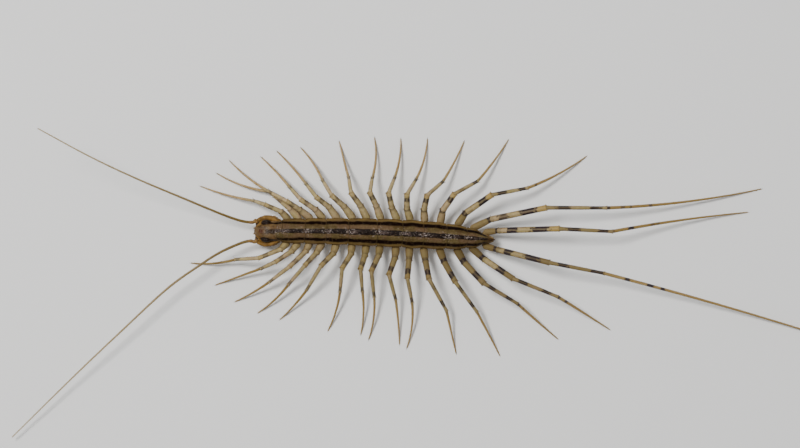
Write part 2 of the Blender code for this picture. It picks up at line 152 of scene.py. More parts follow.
LEFT_LEGS = (
    LegPose((-41, -66, -84, -83), (1.2, 3.1, 3.2, 6.1), -21),
    LegPose((-35, -54, -63, -68), (1.3, 2.5, 2.2, 6.6), 0),
    LegPose((-22, -44, -51, -58), (1.1, 2.9, 3.5, 5.4), -11),
    LegPose((-28, -40, -39, -45), (1.3, 2.3, 3.4, 5.7), -19),
    LegPose((-15, -43, -29, -40), (1.3, 2.2, 3.8, 5.4), -12),
    LegPose((-3, -29, -4, -15), (1.2, 2.2, 3.1, 5.6), -20),
    LegPose((-4, -15, 6, 0), (1.3, 1.9, 2.9, 5.9), -20),
    LegPose((-6, -23, 8, -5), (1.3, 2.2, 3.4, 5.9), -23),
    LegPose((-3, -18, 17, 7), (1.5, 2.3, 3.4, 6.1), -7),
    LegPose((0, -3, 13, -4), (1.6, 2.4, 3.3, 6.3), -25),
    LegPose((10, 13, 31, 15), (1.7, 2.4, 4.9, 5.9), 0),
    LegPose((22, 31, 38, 30), (1.8, 3.0, 5.0, 6.7), -2),
    LegPose((31, 45, 61, 51), (2.0, 3.8, 5.3, 7.3), 2),
    LegPose((50, 58, 70, 60), (2.3, 4.5, 6.5, 8.5), -2),
    LegPose((76, 78, 81, 76), (1.7, 7.0, 7.5, 34.8), -3),
)
SIDES = (("right", 1, RIGHT_LEGS, ANTENNA_RIGHT), ("left", -1, LEFT_LEGS, ANTENNA_LEFT))
HEIGHT_CHANGES = {("right", 2): (-0.5, -1.2, -0.6), ("right", 3): (0.3, 0.6, 1.4)}

# Outlines of the leg's parts: share of the length, share of the radius
LEG_OUTLINES = {
    "coxa": ((0.0, 0.9), (0.4, 1.0), (0.8, 1.05), (1.0, 1.0)),
    "prefemur": ((0.0, 0.94), (0.1, 1.04), (0.3, 1.06), (0.6, 1.0), (0.85, 0.91), (0.94, 0.91),
                 (1.0, 0.94)),
    "femur": ((0.0, 1.02), (0.06, 1.06), (0.2, 1.02), (0.6, 0.98), (0.86, 0.96), (0.95, 1.01),
              (1.0, 1.03)),
    "tibia": ((0.0, 1.35), (0.04, 1.2), (0.12, 1.08), (0.3, 1.05), (0.6, 1.0), (0.88, 0.9),
              (0.95, 0.97), (1.0, 1.04)),
}
# The rim of a part and the skin that bulges in it: millimetres past the end, share of the radius
LIP = ((0.025, 0.96), (0.02, 0.88), (-0.01, 0.8), (0.02, 0.7), (0.08, 0.52), (0.12, 0.3))
# How far the sides of a part's rim reach past its top, round the next part
HORNS = {"coxa": 0.0, "prefemur": 0.13, "femur": 0.1, "tibia": 0.07}
# How wide the parts are by pair, as a share of their own radius
PART_WIDTHS = {"coxa": ((12, 1.0), (15, 0.9)),
               "prefemur": ((1, 0.93), (5, 1.0), (13, 1.0), (15, 0.84)),
               "femur": ((1, 0.8), (6, 0.97), (11, 1.03), (13, 1.06), (15, 1.0)),
               "tibia": ((1, 1.0), (15, 1.0))}
# How much of the leg's tone and painted shade each part takes, by side and pair
PART_TONES_AND_SHADE = {
    "right": {"coxa": ((1, 1.2),), "prefemur": ((12, 1.3), (13, 1.6), (14, 1.3)),
              "femur": ((1, 0.4),), "tibia": ((1, 1.1),)},
    "left": {"coxa": ((1, 1.0),),
             "prefemur": ((11, 1.1), (12, 1.45), (13, 1.85), (14, 1.85), (15, 1.15)),
             "femur": ((8, 1.0), (11, 1.2), (12, 1.25), (13, 1.1), (14, 0.3), (15, 0.5)),
             "tibia": ((12, 0.75), (13, 1.0), (14, 0.85), (15, 0.95))},
}
# Where the tone and painted shade of a part change, as a share of its length, and the share it
# takes from there
END_TONES_AND_SHADE = {("left", "femur"): (0.65, ((1, 1.15),)),
             ("right", "tibia"): (0.4, ((11, 1.1), (12, 0.5), (13, 0.35), (14, 0.65), (15, 1.1)))}
# How pale the knees are by pair
KNEE_TONES = {"right": ((10, 0.2), (13, 0.7)), "left": ((10, 0.2), (12, 0.0))}
# Dark bands on a leg's parts: half width as a share of the length, then middle and depth by pair
LEG_BANDS = {
    "right": {
        "prefemur": ((0.035, ((1, 0.985),), ((6, 0.6), (10.5, 0.9), (13, 1.0))),
                     (0.07, ((1, 0.94),), ((6, 0.1), (10.5, 0.4), (13, 0.95)))),
        "femur": ((0.04, ((1, 0.02),), ((11, 0.0), (12, 0.3), (13, 0.9), (14, 0.3), (15, 0.4))),
                  (0.08, ((1, 0.24),), ((6, 0.15), (12, 0.1), (13, 0.2), (14, 0.85), (15, 1.0))),
                  (0.13, ((1, 0.7),), ((6, 0.6), (10.5, 0.9), (13, 1.0)))),
        "tibia": ((0.11, ((1, 0.28),), ((6, 0.1), (10, 0.1), (12, 0.4), (13, 0.95))),
                  (0.08, ((11, 0.92), (12, 0.86), (14, 0.82)),
                   ((6, 0.65), (10.5, 0.95), (13, 1.0)))),
    },
    "left": {
        "prefemur": ((0.035, ((1, 0.985),), ((6, 0.6), (10.5, 0.9), (13, 1.0))),
                     (0.11, ((12, 0.95), (14, 0.92)), ((6, 0.1), (10.5, 0.4), (12, 1.0)))),
        "femur": ((0.04, ((1, 0.02),),
                   ((9, 0.0), (11, 0.6), (12, 0.9), (13, 0.9), (14, 0.3), (15, 0.5))),
                  (0.07, ((1, 0.23),), ((6, 0.15), (12, 0.0), (14, 0.0), (15, 1.0))),
                  (0.12, ((12, 0.7), (13, 0.66), (14, 0.61), (15, 0.69)),
                   ((6, 0.6), (10.5, 0.95), (13, 1.0)))),
        "tibia": ((0.08, ((12, 0.24), (13, 0.21), (14, 0.21), (15, 0.26)),
                   ((6, 0.1), (9, 0.3), (10, 0.2), (12, 0.8), (13, 1.0))),
                  (0.085, ((10, 0.88), (11, 0.75), (14, 0.73), (15, 0.86)),
                   ((6, 0.65), (10.5, 0.95), (13, 1.0)))),
    },
}
# Dark spots on a tarsus: middle and half width in millimetres from the ankle, and depth
PLAIN_SPOTS = ((0.3, 0.2, 0.25),)
TARSUS_SPOTS = {
    ("right", 13): ((1.3, 0.14, 0.9),),
    ("right", 14): ((0.1, 0.3, 0.9), (2.25, 0.28, 0.6), (3.4, 0.14, 0.7), (6.1, 0.2, 0.7)),
    ("right", 15): ((0.1, 0.2, 0.5), (2.7, 0.34, 1.0), (5.9, 0.25, 0.6), (6.6, 0.22, 0.5)),
    ("left", 13): ((0.1, 0.3, 0.9), (1.2, 0.14, 0.5)),
    ("left", 14): ((0.05, 0.25, 1.0), (1.5, 0.18, 0.9)),
    ("left", 15): ((3.3, 0.36, 1.0), (6.6, 0.42, 1.0), (8.3, 0.28, 1.0)),
}
# How deep the legs' ground colour is, by pair: partly the legs' own colour, partly painted shade
# that deepens the left legs and the hind legs
LEG_TONES_AND_SHADE = {"right": ((1, 0.0), (8, 0.0), (11, 0.2), (14, 0.65), (15, 0.65)),
         "left": ((1, 0.15), (8, 0.7), (15, 0.85))}
# How deep the tarsi's colour is, by side and pair: partly their own colour, partly painted shade on
# the left and hind tarsi
TARSUS_TONES_AND_SHADE = {"right": ((1, 0.1), (6, 0.15), (9, 0.5), (12, 0.6), (14, 0.95)),
                "left": ((1, 1.0), (5, 1.0), (8, 0.7), (15, 0.72))}

# How many sides the tubes have, and the strips that the legs' skin is laid out in
TRUNK_SIDES = 56
HEAD_SIDES = 88
TAIL_SIDES = 28
LEG_SIDES = 22
LEG_STRIPS = 31
HEAD_SQUARENESS = 0.85
# How much finer a skin's grain is than its mottling
GRAIN_FINENESS = 7.0
# Values stored at the points of the plates and of the horny parts
PLATE_VALUES = ("across", "station", "rear_gap", "front_gap")
HORN_VALUES = ("ring", "ringed", "claw")
# Seeds of the random draws
BRISTLE_SEED = 11
SPINE_SEED = 5
HAIR_SEED = 23


def to_frame(points):
    """Millimetres on the animal's own axes as metres of the frame."""
    return (np.asarray(points, float) + (FRONT_X, LINE_Y, 0.0)) * MM


def mm(metres):
    return metres / MM


def ramp(position, stops):
    """The value at a position on straight lines between (position, value) stops."""
    places, values = zip(*stops)
    return np.interp(position, places, values)


def reaches(path):
    """How far along a path each of its points is."""
    return np.concatenate([[0.0], np.cumsum(np.linalg.norm(np.diff(path, axis=0), axis=1))])


def hump(distance, width):
    """A smooth hump that is 1 at no distance and fades over a width."""
    return np.exp(-(np.asarray(distance) / width) ** 2)


def step_up(value, start, end):
    """Goes smoothly from 0 at start to 1 at end."""
    share = np.clip((np.asarray(value, float) - start) / (end - start), 0.0, 1.0)
    return share * share * (3 - 2 * share)


def half_width(x):
    return ramp(x, HALF_WIDTHS)


def core_width(x):
    """Half the width of the soft trunk between the hips."""
    return np.maximum(half_width(x) - HIP_INSET - COXA_LENGTH - GAP, CORE_LEAST)


def core_top(x):
    return CORE_TOP_Z - TAIL_SINK * np.maximum(0.0, x - TAIL_SINK_START)


def middle(x):
    """How far the trunk's middle bows to the right of the straight line."""
    return BOW * np.sin(np.pi * np.maximum(x, 0.0) / BODY_LENGTH)


def squared(value, squareness):
    """Pushes a sine or cosine outwards, which makes a round section squarer."""
    return np.sign(value) * np.abs(value) ** squareness


def smooth(stops, steps):
    """Points on a smooth curve through the stops, with some steps between each two."""
    stops = np.array(stops, float)
    padded = np.vstack([2 * stops[0] - stops[1], stops, 2 * stops[-1] - stops[-2]])
    t = np.arange(steps)[:, None] / steps
    spans = [0.5 * (2 * b + (c - a) * t + (2 * a - 5 * b + 4 * c - d) * t ** 2
                    + (3 * b - a - 3 * c + d) * t ** 3)
             for a, b, c, d in zip(padded, padded[1:], padded[2:], padded[3:])]
    return np.vstack(spans + [stops[-1:]])


def unit(vectors):
    """Vectors made one long."""
    vectors = np.asarray(vectors, float)
    return vectors / np.maximum(np.linalg.norm(vectors, axis=-1, keepdims=True), 1e-9)


def directions(path):
    """Along, across and up at each point of a path, with across level."""
    along = unit(np.gradient(path, axis=0))
    across = unit(np.cross(along, (0.0, 0.0, 1.0)))
    return along, across, np.cross(across, along)


def turned(side, sweep):
    """The direction over the floor that a sweep angle means on one side of the body."""
    turn = math.radians(sweep)
    return np.array((math.sin(turn), side * math.cos(turn), 0.0))


class Shape:
    """Points, faces and values at the points, gathered for one mesh."""

    def __init__(self, *names):
        self.points = []
        self.faces = []
        self.count = 0
        self.values = {name: [] for name in names}

    def add(self, points, faces, values):
        points = np.asarray(points, float).reshape(-1, 3)
        for name, stored in self.values.items():
            stored.append(np.broadcast_to(values.get(name, 0.0), len(points)))
        self.points.append(points)
        self.faces += (np.asarray(faces) + self.count).tolist()
        self.count += len(points)

    def add_grid(self, grid, wrap=False, **values):
        """A sheet, or with wrap a tube round on itself, from rows of points."""
        rows, columns = grid.shape[:2]
        spread = {name: np.broadcast_to(value, (rows, columns)).reshape(-1)
                  for name, value in values.items()}
        self.add(grid, grid_faces(rows, columns, wrap), spread)

    def add_tube(self, grid, **values):
        """A tube from rings of points, closed at both ends with a point."""
        rows, columns = grid.shape[:2]
        first = self.count
        self.add_grid(grid, wrap=True, **values)
        for row, ring in ((0, grid[0]), (rows - 1, grid[-1])):
            ends = {name: np.broadcast_to(value, (rows, columns))[row].mean()
                    for name, value in values.items()}
            near = first + row * columns + np.arange(columns)
            pole = np.full(columns, self.count)
            fan = np.stack([near, np.roll(near, -1), pole], axis=1) - self.count
            self.add(ring.mean(axis=0), fan, ends)

    def add_slab(self, top, bottom, bulge, **values):
        """A closed sheet between two grids of the same size, with a rounded rim."""
        rows, columns = top.shape[:2]
        first = self.count
        self.add_grid(top, **values)
        self.add_grid(bottom, **values)
        rim = [(0, j) for j in range(columns)] + [(i, columns - 1) for i in range(1, rows)]
        rim += [(rows - 1, j) for j in range(columns - 2, -1, -1)]
        rim += [(i, 0) for i in range(rows - 2, 0, -1)]
        rim = np.array(rim)
        inner = np.clip(rim, 1, (rows - 2, columns - 2))
        edge = top[rim[:, 0], rim[:, 1]]
        outward = unit(edge - top[inner[:, 0], inner[:, 1]])
        between = (edge + bottom[rim[:, 0], rim[:, 1]]) / 2 + bulge * outward
        spread = {name: np.broadcast_to(value, (rows, columns))[rim[:, 0], rim[:, 1]]
                  for name, value in values.items()}
        near = rim[:, 0] * columns + rim[:, 1]
        upper = first + near
        lower = first + rows * columns + near
        mid = self.count + np.arange(len(rim))
        strips = [np.stack([a, np.roll(a, -1), np.roll(b, -1), b], axis=1)
                  for a, b in ((upper, mid), (mid, lower))]
        self.add(between, np.vstack(strips) - self.count, spread)

    def make(self, name, material, smooth_shading=True):
        """One mesh object of all that was added, with its faces turned outwards."""
        mesh = bpy.data.meshes.new(name)
        mesh.from_pydata(to_frame(np.vstack(self.points)), [], self.faces)
        for label, stored in self.values.items():
            attribute = mesh.attributes.new(label, "FLOAT", "POINT")
            attribute.data.foreach_set("value", np.concatenate(stored).astype(np.float32))
        turn_outwards(mesh)
        if smooth_shading:
            mesh.shade_smooth()
        mesh.materials.append(material)
        return link(name, mesh)


def grid_faces(rows, columns, wrap):
    """Four-cornered faces between the rows of a grid of points."""
    near = np.arange(columns if wrap else columns - 1)
    after = (near + 1) % columns
    first = np.arange(rows - 1)[:, None] * columns
    corners = (first + near, first + after, first + columns + after, first + columns + near)
    return np.stack(corners, axis=-1).reshape(-1, 4)


def turn_outwards(mesh):
    """Turns the faces of each closed surface outwards."""
    shape = bmesh.new()
    shape.from_mesh(mesh)
    bmesh.ops.recalc_face_normals(shape, faces=shape.faces)
    shape.to_mesh(mesh)
    shape.free()


def link(name, mesh):
    obj = bpy.data.objects.new(name, mesh)
    bpy.context.scene.collection.objects.link(obj)
    return obj


def ride(obj, slot, *nodes):
    """Lets a finished piece ride on the body, in place of solids. The slot is not used."""
    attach(obj, BODY)
    if nodes:
        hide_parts(*nodes)


def round_angles(sides):
    """Evenly spaced angles round a tube, from its top."""
    return 2 * math.pi * np.arange(sides) / sides


def rings(path, widths, heights, sides, ridges=0.0, squareness=1.0):
    """Rings of points round a path, as a grid whose columns start at the top."""
    _, across, up = directions(path)
    angles = round_angles(sides)
    ridge = 1 + np.asarray(ridges).reshape(-1, 1) * np.cos(5 * angles)
    wide = np.asarray(widths).reshape(-1, 1) * squared(np.sin(angles), squareness) * ridge
    high = np.asarray(heights).reshape(-1, 1) * squared(np.cos(angles), squareness) * ridge
    return path[:, None] + wide[..., None] * across[:, None] + high[..., None] * up[:, None]


# Node trees


def add(tree, kind, inputs=None, **settings):
    """Adds a node with its settings; an input is a value, or a socket to join to it."""
    node = tree.nodes.new(kind)
    for name, value in settings.items():
        setattr(node, name, value)
    for place, value in (inputs or {}).items():
        if isinstance(value, bpy.types.NodeSocket):
            tree.links.new(value, node.inputs[place])
        else:
            node.inputs[place].default_value = value
    return node


def maths(tree, operation, *values):
    return add(tree, "ShaderNodeMath", dict(enumerate(values)), operation=operation).outputs[0]


def times(tree, first, second):
    return maths(tree, "MULTIPLY", first, second)


def linear(tree, value, factor, shift):
    return maths(tree, "MULTIPLY_ADD", value, factor, shift)


def apart(tree, first, second):
    """How far two values are from each other."""
    return maths(tree, "ABSOLUTE", maths(tree, "SUBTRACT", first, second))


def scaled(tree, vector, factor):
    node = add(tree, "ShaderNodeVectorMath", {0: vector, 3: factor}, operation="SCALE")
    return node.outputs[0]


def total(tree, first, second):
    return add(tree, "ShaderNodeVectorMath", {0: first, 1: second}, operation="ADD").outputs[0]


def field(tree, name, kind="FLOAT"):
    """A value stored at the points, in a Geometry Nodes tree."""
    return add(tree, "GeometryNodeInputNamedAttribute", {0: name}, data_type=kind).outputs[0]


def curve_through(tree, factor, stops):
    """A value read off a curve through (position, value) stops."""
    node = add(tree, "ShaderNodeFloatCurve", {1: factor})
    points = node.mapping.curves[0].points
    while len(points) < len(stops):
        points.new(0.5, 0.5)
    for point, stop in zip(points, stops):
        point.location = stop
        point.handle_type = "VECTOR"
    node.mapping.update()
    return node.outputs[0]


def geometry_tree(name, sockets):
    """A Geometry Nodes tree with geometry in and out and named inputs."""
    tree = bpy.data.node_groups.new(name, "GeometryNodeTree")
    face = tree.interface
    face.new_socket("Geometry", in_out="INPUT", socket_type="NodeSocketGeometry")
    for label, kind, default in sockets:
        socket = face.new_socket(label, in_out="INPUT", socket_type="NodeSocket" + kind)
        if default is not None:
            socket.default_value = default
    face.new_socket("Geometry", in_out="OUTPUT", socket_type="NodeSocketGeometry")
    return tree, add(tree, "NodeGroupInput").outputs


def close_tree(tree, geometry, material):
    """Ends a tree in Realize Instances and Set Material."""
    real = add(tree, "GeometryNodeRealizeInstances", {0: geometry})
    finish = add(tree, "GeometryNodeSetMaterial", {0: real.outputs[0], 2: material})
    add(tree, "NodeGroupOutput", {0: finish.outputs[0]})
    return tree


def keep(tree, geometry, name, value, kind="FLOAT", domain="POINT"):
    """Stores a value at the points, faces or corners of a geometry."""
    return add(tree, "GeometryNodeStoreNamedAttribute", {0: geometry, 2: name, 3: value},
               data_type=kind, domain=domain).outputs[0]


def ringed_tree():
    """Turns a line of points into a feeler of many short rings, each wider at its far end."""
    tree, given = geometry_tree("Ringed feeler", (
        ("Ring Length", "Float", 0.00016), ("Ring Flare", "Float", 0.1), ("Sides", "Int", 8),
        ("Material", "Material", None)))
    steps = 4
    line = add(tree, "GeometryNodeMeshToCurve", {0: given["Geometry"]})
    spacing = maths(tree, "DIVIDE", given["Ring Length"], float(steps))
    cut = add(tree, "GeometryNodeResampleCurve", {0: line.outputs[0], 3: spacing}, mode="LENGTH")
    index = add(tree, "GeometryNodeSplineParameter").outputs["Index"]
    phase = maths(tree, "DIVIDE", maths(tree, "MODULO", index, float(steps)), float(steps))
    swell = curve_through(tree, phase, ((0.0, 0.0), (0.3, 0.55), (0.6, 0.75), (0.75, 1.0),
                                        (1.0, 1.0)))
    share = linear(tree, swell, given["Ring Flare"], 1.0)
    less = maths(tree, "SUBTRACT", share, given["Ring Flare"])
    marked = keep(tree, cut.outputs[0], "ring", phase)
    profile = add(tree, "GeometryNodeCurvePrimitiveCircle", {0: given["Sides"], 4: 1.0})
    radius = times(tree, field(tree, "thickness"), less)
    tube = add(tree, "GeometryNodeCurveToMesh", {0: marked, 1: profile.outputs[0],
                                                 2: radius, 3: True})
    soft = add(tree, "GeometryNodeSetShadeSmooth", {0: tube.outputs[0]})
    return close_tree(tree, soft.outputs[0], given["Material"])


def spine_tree():
    """Sets a bent spine on each point, with the point's own aim, lean and length."""
    tree, given = geometry_tree("Spines", (
        ("Slenderness", "Float", 0.08), ("Bend", "Float", 0.15), ("Sides", "Int", 3),
        ("Pieces", "Int", 2), ("Patch", "Float", 0.003), ("Material", "Material", None)))
    cone = add(tree, "GeometryNodeMeshCone", {0: given["Sides"], 1: given["Pieces"], 3: 0.02,
                                              4: given["Slenderness"], 5: 1.0})
    here = add(tree, "GeometryNodeInputPosition").outputs[0]
    height = add(tree, "ShaderNodeSeparateXYZ", {0: here}).outputs[2]
    shift = times(tree, times(tree, height, height), given["Bend"])
    offset = add(tree, "ShaderNodeCombineXYZ", {0: shift})
    bent = add(tree, "GeometryNodeSetPosition", {0: cone.outputs["Mesh"], 3: offset.outputs[0]})
    risen = keep(tree, bent.outputs[0], "rise", height)
    flat = keep(tree, risen, "own_patch", cone.outputs["UV Map"], "FLOAT2", "CORNER")
    aim = add(tree, "FunctionNodeAxesToRotation",
              {0: field(tree, "aim", "FLOAT_VECTOR"), 1: field(tree, "lean", "FLOAT_VECTOR")},
              primary_axis="Z", secondary_axis="X")
    size = add(tree, "ShaderNodeCombineXYZ", {place: field(tree, "size") for place in range(3)})
    spines = add(tree, "GeometryNodeInstanceOnPoints",
                 {0: given["Geometry"], 2: flat, 5: aim.outputs[0], 6: size.outputs[0]})
    real = add(tree, "GeometryNodeRealizeInstances", {0: spines.outputs[0]})
    patch = scaled(tree, field(tree, "own_patch", "FLOAT_VECTOR"), given["Patch"])
    place = total(tree, field(tree, "root_place", "FLOAT_VECTOR"), patch)
    mapped = keep(tree, real.outputs[0], "OFBake", place, "FLOAT2", "CORNER")
    return close_tree(tree, mapped, given["Material"])


def eye_tree():
    """A domed eye of many six-sided facets."""
    tree, given = geometry_tree("Faceted eye", (
        ("Centre", "Vector", None), ("Radii", "Vector", None), ("Fineness", "Int", 4),
        ("Dome Height", "Float", 0.03), ("Dome Width", "Float", 0.72),
        ("Material", "Material", None)))
    ball = add(tree, "GeometryNodeMeshIcoSphere", {0: 1.0, 1: given["Fineness"]})
    cells = add(tree, "GeometryNodeDualMesh", {0: ball.outputs["Mesh"]})
    raised = add(tree, "GeometryNodeExtrudeMesh", {0: cells.outputs[0], 3: given["Dome Height"]},
                 mode="FACES")
    marked = keep(tree, raised.outputs["Mesh"], "dome", raised.outputs["Top"], domain="FACE")
    domes = add(tree, "GeometryNodeScaleElements",
                {0: marked, 1: raised.outputs["Top"], 2: given["Dome Width"]}, domain="FACE")
    shaped = add(tree, "GeometryNodeTransform",
                 {0: domes.outputs[0], 1: given["Centre"], 3: given["Radii"]})
    soft = add(tree, "GeometryNodeSetShadeSmooth", {0: shaped.outputs[0]})
    return close_tree(tree, soft.outputs[0], given["Material"])


def grow(name, mesh, tree, **values):
    """The plain mesh that a tree makes from a mesh, as a new object."""
    obj = link(name, mesh)
    modifier = obj.modifiers.new("grow", "NODES")
    modifier.node_group = tree
    sockets = {item.name: item.identifier for item in tree.interface.items_tree
               if item.in_out == "INPUT"}
    for label, value in values.items():
        modifier[sockets[label.replace("_", " ").title()]] = value
    graph = bpy.context.evaluated_depsgraph_get()
    result = bpy.data.meshes.new_from_object(obj.evaluated_get(graph))
    obj.modifiers.clear()
    obj.data = result
    bpy.data.meshes.remove(mesh)
    result.name = name
    return obj


def points_mesh(name, points, edges, **values):
    """A mesh of bare points and edges in metres, with a value or vector at each point."""
    mesh = bpy.data.meshes.new(name)
    mesh.from_pydata(points, edges, [])
    for label, stored in values.items():
        stored = np.asarray(stored, np.float32)
        kind, key = ("FLOAT_VECTOR", "vector") if stored.ndim == 2 else ("FLOAT", "value")
        attribute = mesh.attributes.new(label, kind, "POINT")
        attribute.data.foreach_set(key, stored.reshape(-1))
    return mesh


class Lines:
    """Lines of points with a thickness and other values, for the ringed tree."""

    def __init__(self):
        self.points = []
        self.edges = []
        self.values = {"thickness": [], "along": [], "band": [], "depth": [], "flank": [],
                       "tone": [], "ringed": []}
        self.count = 0

    def add(self, path, radii, band=0.0, depth=0.0, tone=0.0, ringed=1.0):
        size = len(path)
        self.points.append(to_frame(path))
        self.edges += [(self.count + i, self.count + i + 1) for i in range(size - 1)]
        given = {"thickness": np.asarray(radii) * MM, "along": np.linspace(0.0, 1.0, size),
                 "band": band, "depth": depth, "flank": 1.0, "tone": tone, "ringed": ringed}
        for label, value in given.items():
            self.values[label].append(np.broadcast_to(value, size))
        self.count += size

    def mesh(self, name):
        joined = {label: np.concatenate(stored) for label, stored in self.values.items()}
        return points_mesh(name, np.vstack(self.points), self.edges, **joined)


class Roots:
    """Roots of spines or hairs, for the spine tree."""

    def __init__(self):
        self.rows = {"points": [], "aim": [], "lean": [], "size": [], "root_place": []}

    def add(self, points, aims, leans, sizes, places):
        """Roots in millimetres, with their place on the skin laid out flat."""
        count = len(points)
        self.rows["points"].append(to_frame(points))
        self.rows["aim"].append(np.broadcast_to(unit(aims), (count, 3)))
        self.rows["lean"].append(np.broadcast_to(unit(leans), (count, 3)))
        self.rows["size"].append(np.broadcast_to(sizes, count) * MM)
        flat = np.zeros((count, 3))
        flat[:, :2] = places
        self.rows["root_place"].append(flat)

    def mesh(self, name):
        joined = {label: np.concatenate(stored) for label, stored in self.rows.items()}
        return points_mesh(name, joined.pop("points"), [], **joined)


# Finishes


def colour(value):
    return (*value, 1.0)


def group_tree(name, inputs):
    """A shader group with named number inputs."""
    tree = bpy.data.node_groups.new(name, "ShaderNodeTree")
    for label, default in inputs:
        socket = tree.interface.new_socket(label, in_out="INPUT", socket_type="NodeSocketFloat")
        socket.default_value = default
    return tree, add(tree, "NodeGroupInput").outputs


def close_group(tree, outputs):
    for label in outputs:
        tree.interface.new_socket(label, in_out="OUTPUT", socket_type="NodeSocketFloat")
    add(tree, "NodeGroupOutput", outputs)
    return tree


def placed(tree, maker, **values):
    """Places a shader group in a material, built when it is first asked for."""
    name = maker.__name__
    group = bpy.data.node_groups.get(name) or maker(name)
    node = tree.nodes.new("ShaderNodeGroup")
    node.node_tree = group
    for label, value in values.items():
        node.inputs[label.replace("_", " ").title()].default_value = value
    return node.outputs


def stored(tree, name):
    """A value stored at the points, in a shader tree."""
    return add(tree, "ShaderNodeAttribute", attribute_name=name).outputs["Fac"]


def from_middle(tree):
    """How far a point is from the middle line, as a share of the half width."""
    return maths(tree, "ABSOLUTE", stored(tree, "across"))


def object_place(tree):
    return add(tree, "ShaderNodeTexCoord").outputs["Object"]


def noise(tree, scale, detail=2.0):
    return add(tree, "ShaderNodeTexNoise",
               {"Vector": object_place(tree), "Scale": scale, "Detail": detail}).outputs[0]


def mask(tree, value, start, end):
    """Goes smoothly from 0 where the value is start to 1 where it is end."""
    node = add(tree, "ShaderNodeMapRange", {0: value, 1: start, 2: end, 3: 0.0, 4: 1.0},
               interpolation_type="SMOOTHSTEP")
    return node.outputs[0]


def blend(tree, factor, first, second):
    return add(tree, "ShaderNodeMix", {0: factor, 6: first, 7: second}, data_type="RGBA").outputs[2]


def laid(tree, base, over, factor, amount=1.0):
    """Lays a colour over a base, where the factor says and by an amount."""
    factor = factor if amount == 1.0 else times(tree, factor, amount)
    return blend(tree, factor, base, colour(over))


def mottled(tree, skin, first, second):
    """Two colours mixed by the skin's mottling."""
    return blend(tree, skin["Mottle"], colour(first), colour(second))


def cuticle(name):
    """Coarse mottling, fine grain and pits of a hard skin, which can be drawn out lengthwise."""
    tree, given = group_tree(name, (("Scale", 1500.0), ("Lengthwise", 1.0)))
    parts = add(tree, "ShaderNodeSeparateXYZ", {0: object_place(tree)}).outputs
    drawn = times(tree, parts[0], given["Lengthwise"])
    place = add(tree, "ShaderNodeCombineXYZ", {0: drawn, 1: parts[1], 2: parts[2]}).outputs[0]
    coarse = add(tree, "ShaderNodeTexNoise",
                 {"Vector": place, "Scale": given["Scale"], "Detail": 3.0})
    fine_scale = times(tree, given["Scale"], GRAIN_FINENESS)
    fine = add(tree, "ShaderNodeTexNoise", {"Vector": place, "Scale": fine_scale, "Detail": 2.0})
    pits = add(tree, "ShaderNodeTexVoronoi", {"Vector": place, "Scale": fine_scale})
    return close_group(tree, {"Mottle": mask(tree, coarse.outputs[0], 0.32, 0.68),
                              "Grain": fine.outputs[0], "Pits": pits.outputs["Distance"]})


def back_pattern(name):
    """The stripes, margin, joints and pale marks of the back."""
    tree, _ = group_tree(name, ())
    across = from_middle(tree)
    station = stored(tree, "station")
    rear_gap = stored(tree, "rear_gap")
    wobble = linear(tree, noise(tree, 1000.0, 3.0), 0.34, -0.17)
    ragged = maths(tree, "ADD", across, wobble)
    centre = curve_through(tree, station, ((0.0, 0.83), (0.08, 0.83), (0.11, 0.76), (0.15, 0.67),
                                           (0.19, 0.63), (0.3, 0.64), (0.75, 0.67), (0.92, 0.68),
                                           (0.97, 0.6), (1.0, 0.35)))
    thick = curve_through(tree, station, ((0.0, 0.065), (0.1, 0.075), (0.2, 0.09), (0.35, 0.11),
                                          (0.9, 0.115), (1.0, 0.13)))
    wavy = linear(tree, wobble, 0.55, across)
    off = apart(tree, wavy, centre)
    over = maths(tree, "SUBTRACT", off, thick)
    joint = mask(tree, rear_gap, 0.03, 0.16)
    whole = linear(tree, joint, 0.6, 0.4)
    side = times(tree, mask(tree, over, 0.025, -0.02), whole)
    narrow = curve_through(tree, station, ((0.0, 0.1), (0.1, 0.16), (0.4, 0.22), (0.8, 0.19),
                                           (0.95, 0.2), (1.0, 0.3)))
    inside = linear(tree, wobble, 0.5, maths(tree, "SUBTRACT", across, narrow))
    median = times(tree, mask(tree, inside, 0.03, -0.04), whole)
    front_gap = stored(tree, "front_gap")
    core = times(tree, mask(tree, inside, -0.07, -0.15), mask(tree, front_gap, 2.3, 0.7))
    patchy = times(tree, mask(tree, noise(tree, 1700.0, 3.0), 0.38, 0.58),
                   mask(tree, station, 0.96, 0.9))
    streak = times(tree, core, patchy)
    margin = mask(tree, maths(tree, "SUBTRACT", across, centre), 0.1, 0.16)
    rim = mask(tree, ragged, 0.9, 0.98)
    lips = times(tree, mask(tree, across, 0.2, 0.08), mask(tree, rear_gap, 0.5, 0.2))
    front = times(tree, mask(tree, front_gap, 1.25, 0.3), mask(tree, station, 0.94, 0.9))
    dusty = times(tree, mask(tree, across, 0.26, 0.1), front)
    lean = linear(tree, rear_gap, 0.42, 0.05)
    line = apart(tree, ragged, lean)
    broken = times(tree, mask(tree, rear_gap, 0.85, 0.55),
                   mask(tree, noise(tree, 2600.0), 0.45, 0.6))
    chevron = times(tree, mask(tree, line, 0.06, 0.015), broken)
    return close_group(tree, {"Side": side, "Median": median, "Halo": mask(tree, over, 0.12, 0.0),
                              "Margin": margin, "Rim": rim, "Lips": lips, "Chevron": chevron,
                              "Streak": streak, "Front": front, "Dusty": dusty,
                              "Tail": mask(tree, station, 0.965, 0.985)})


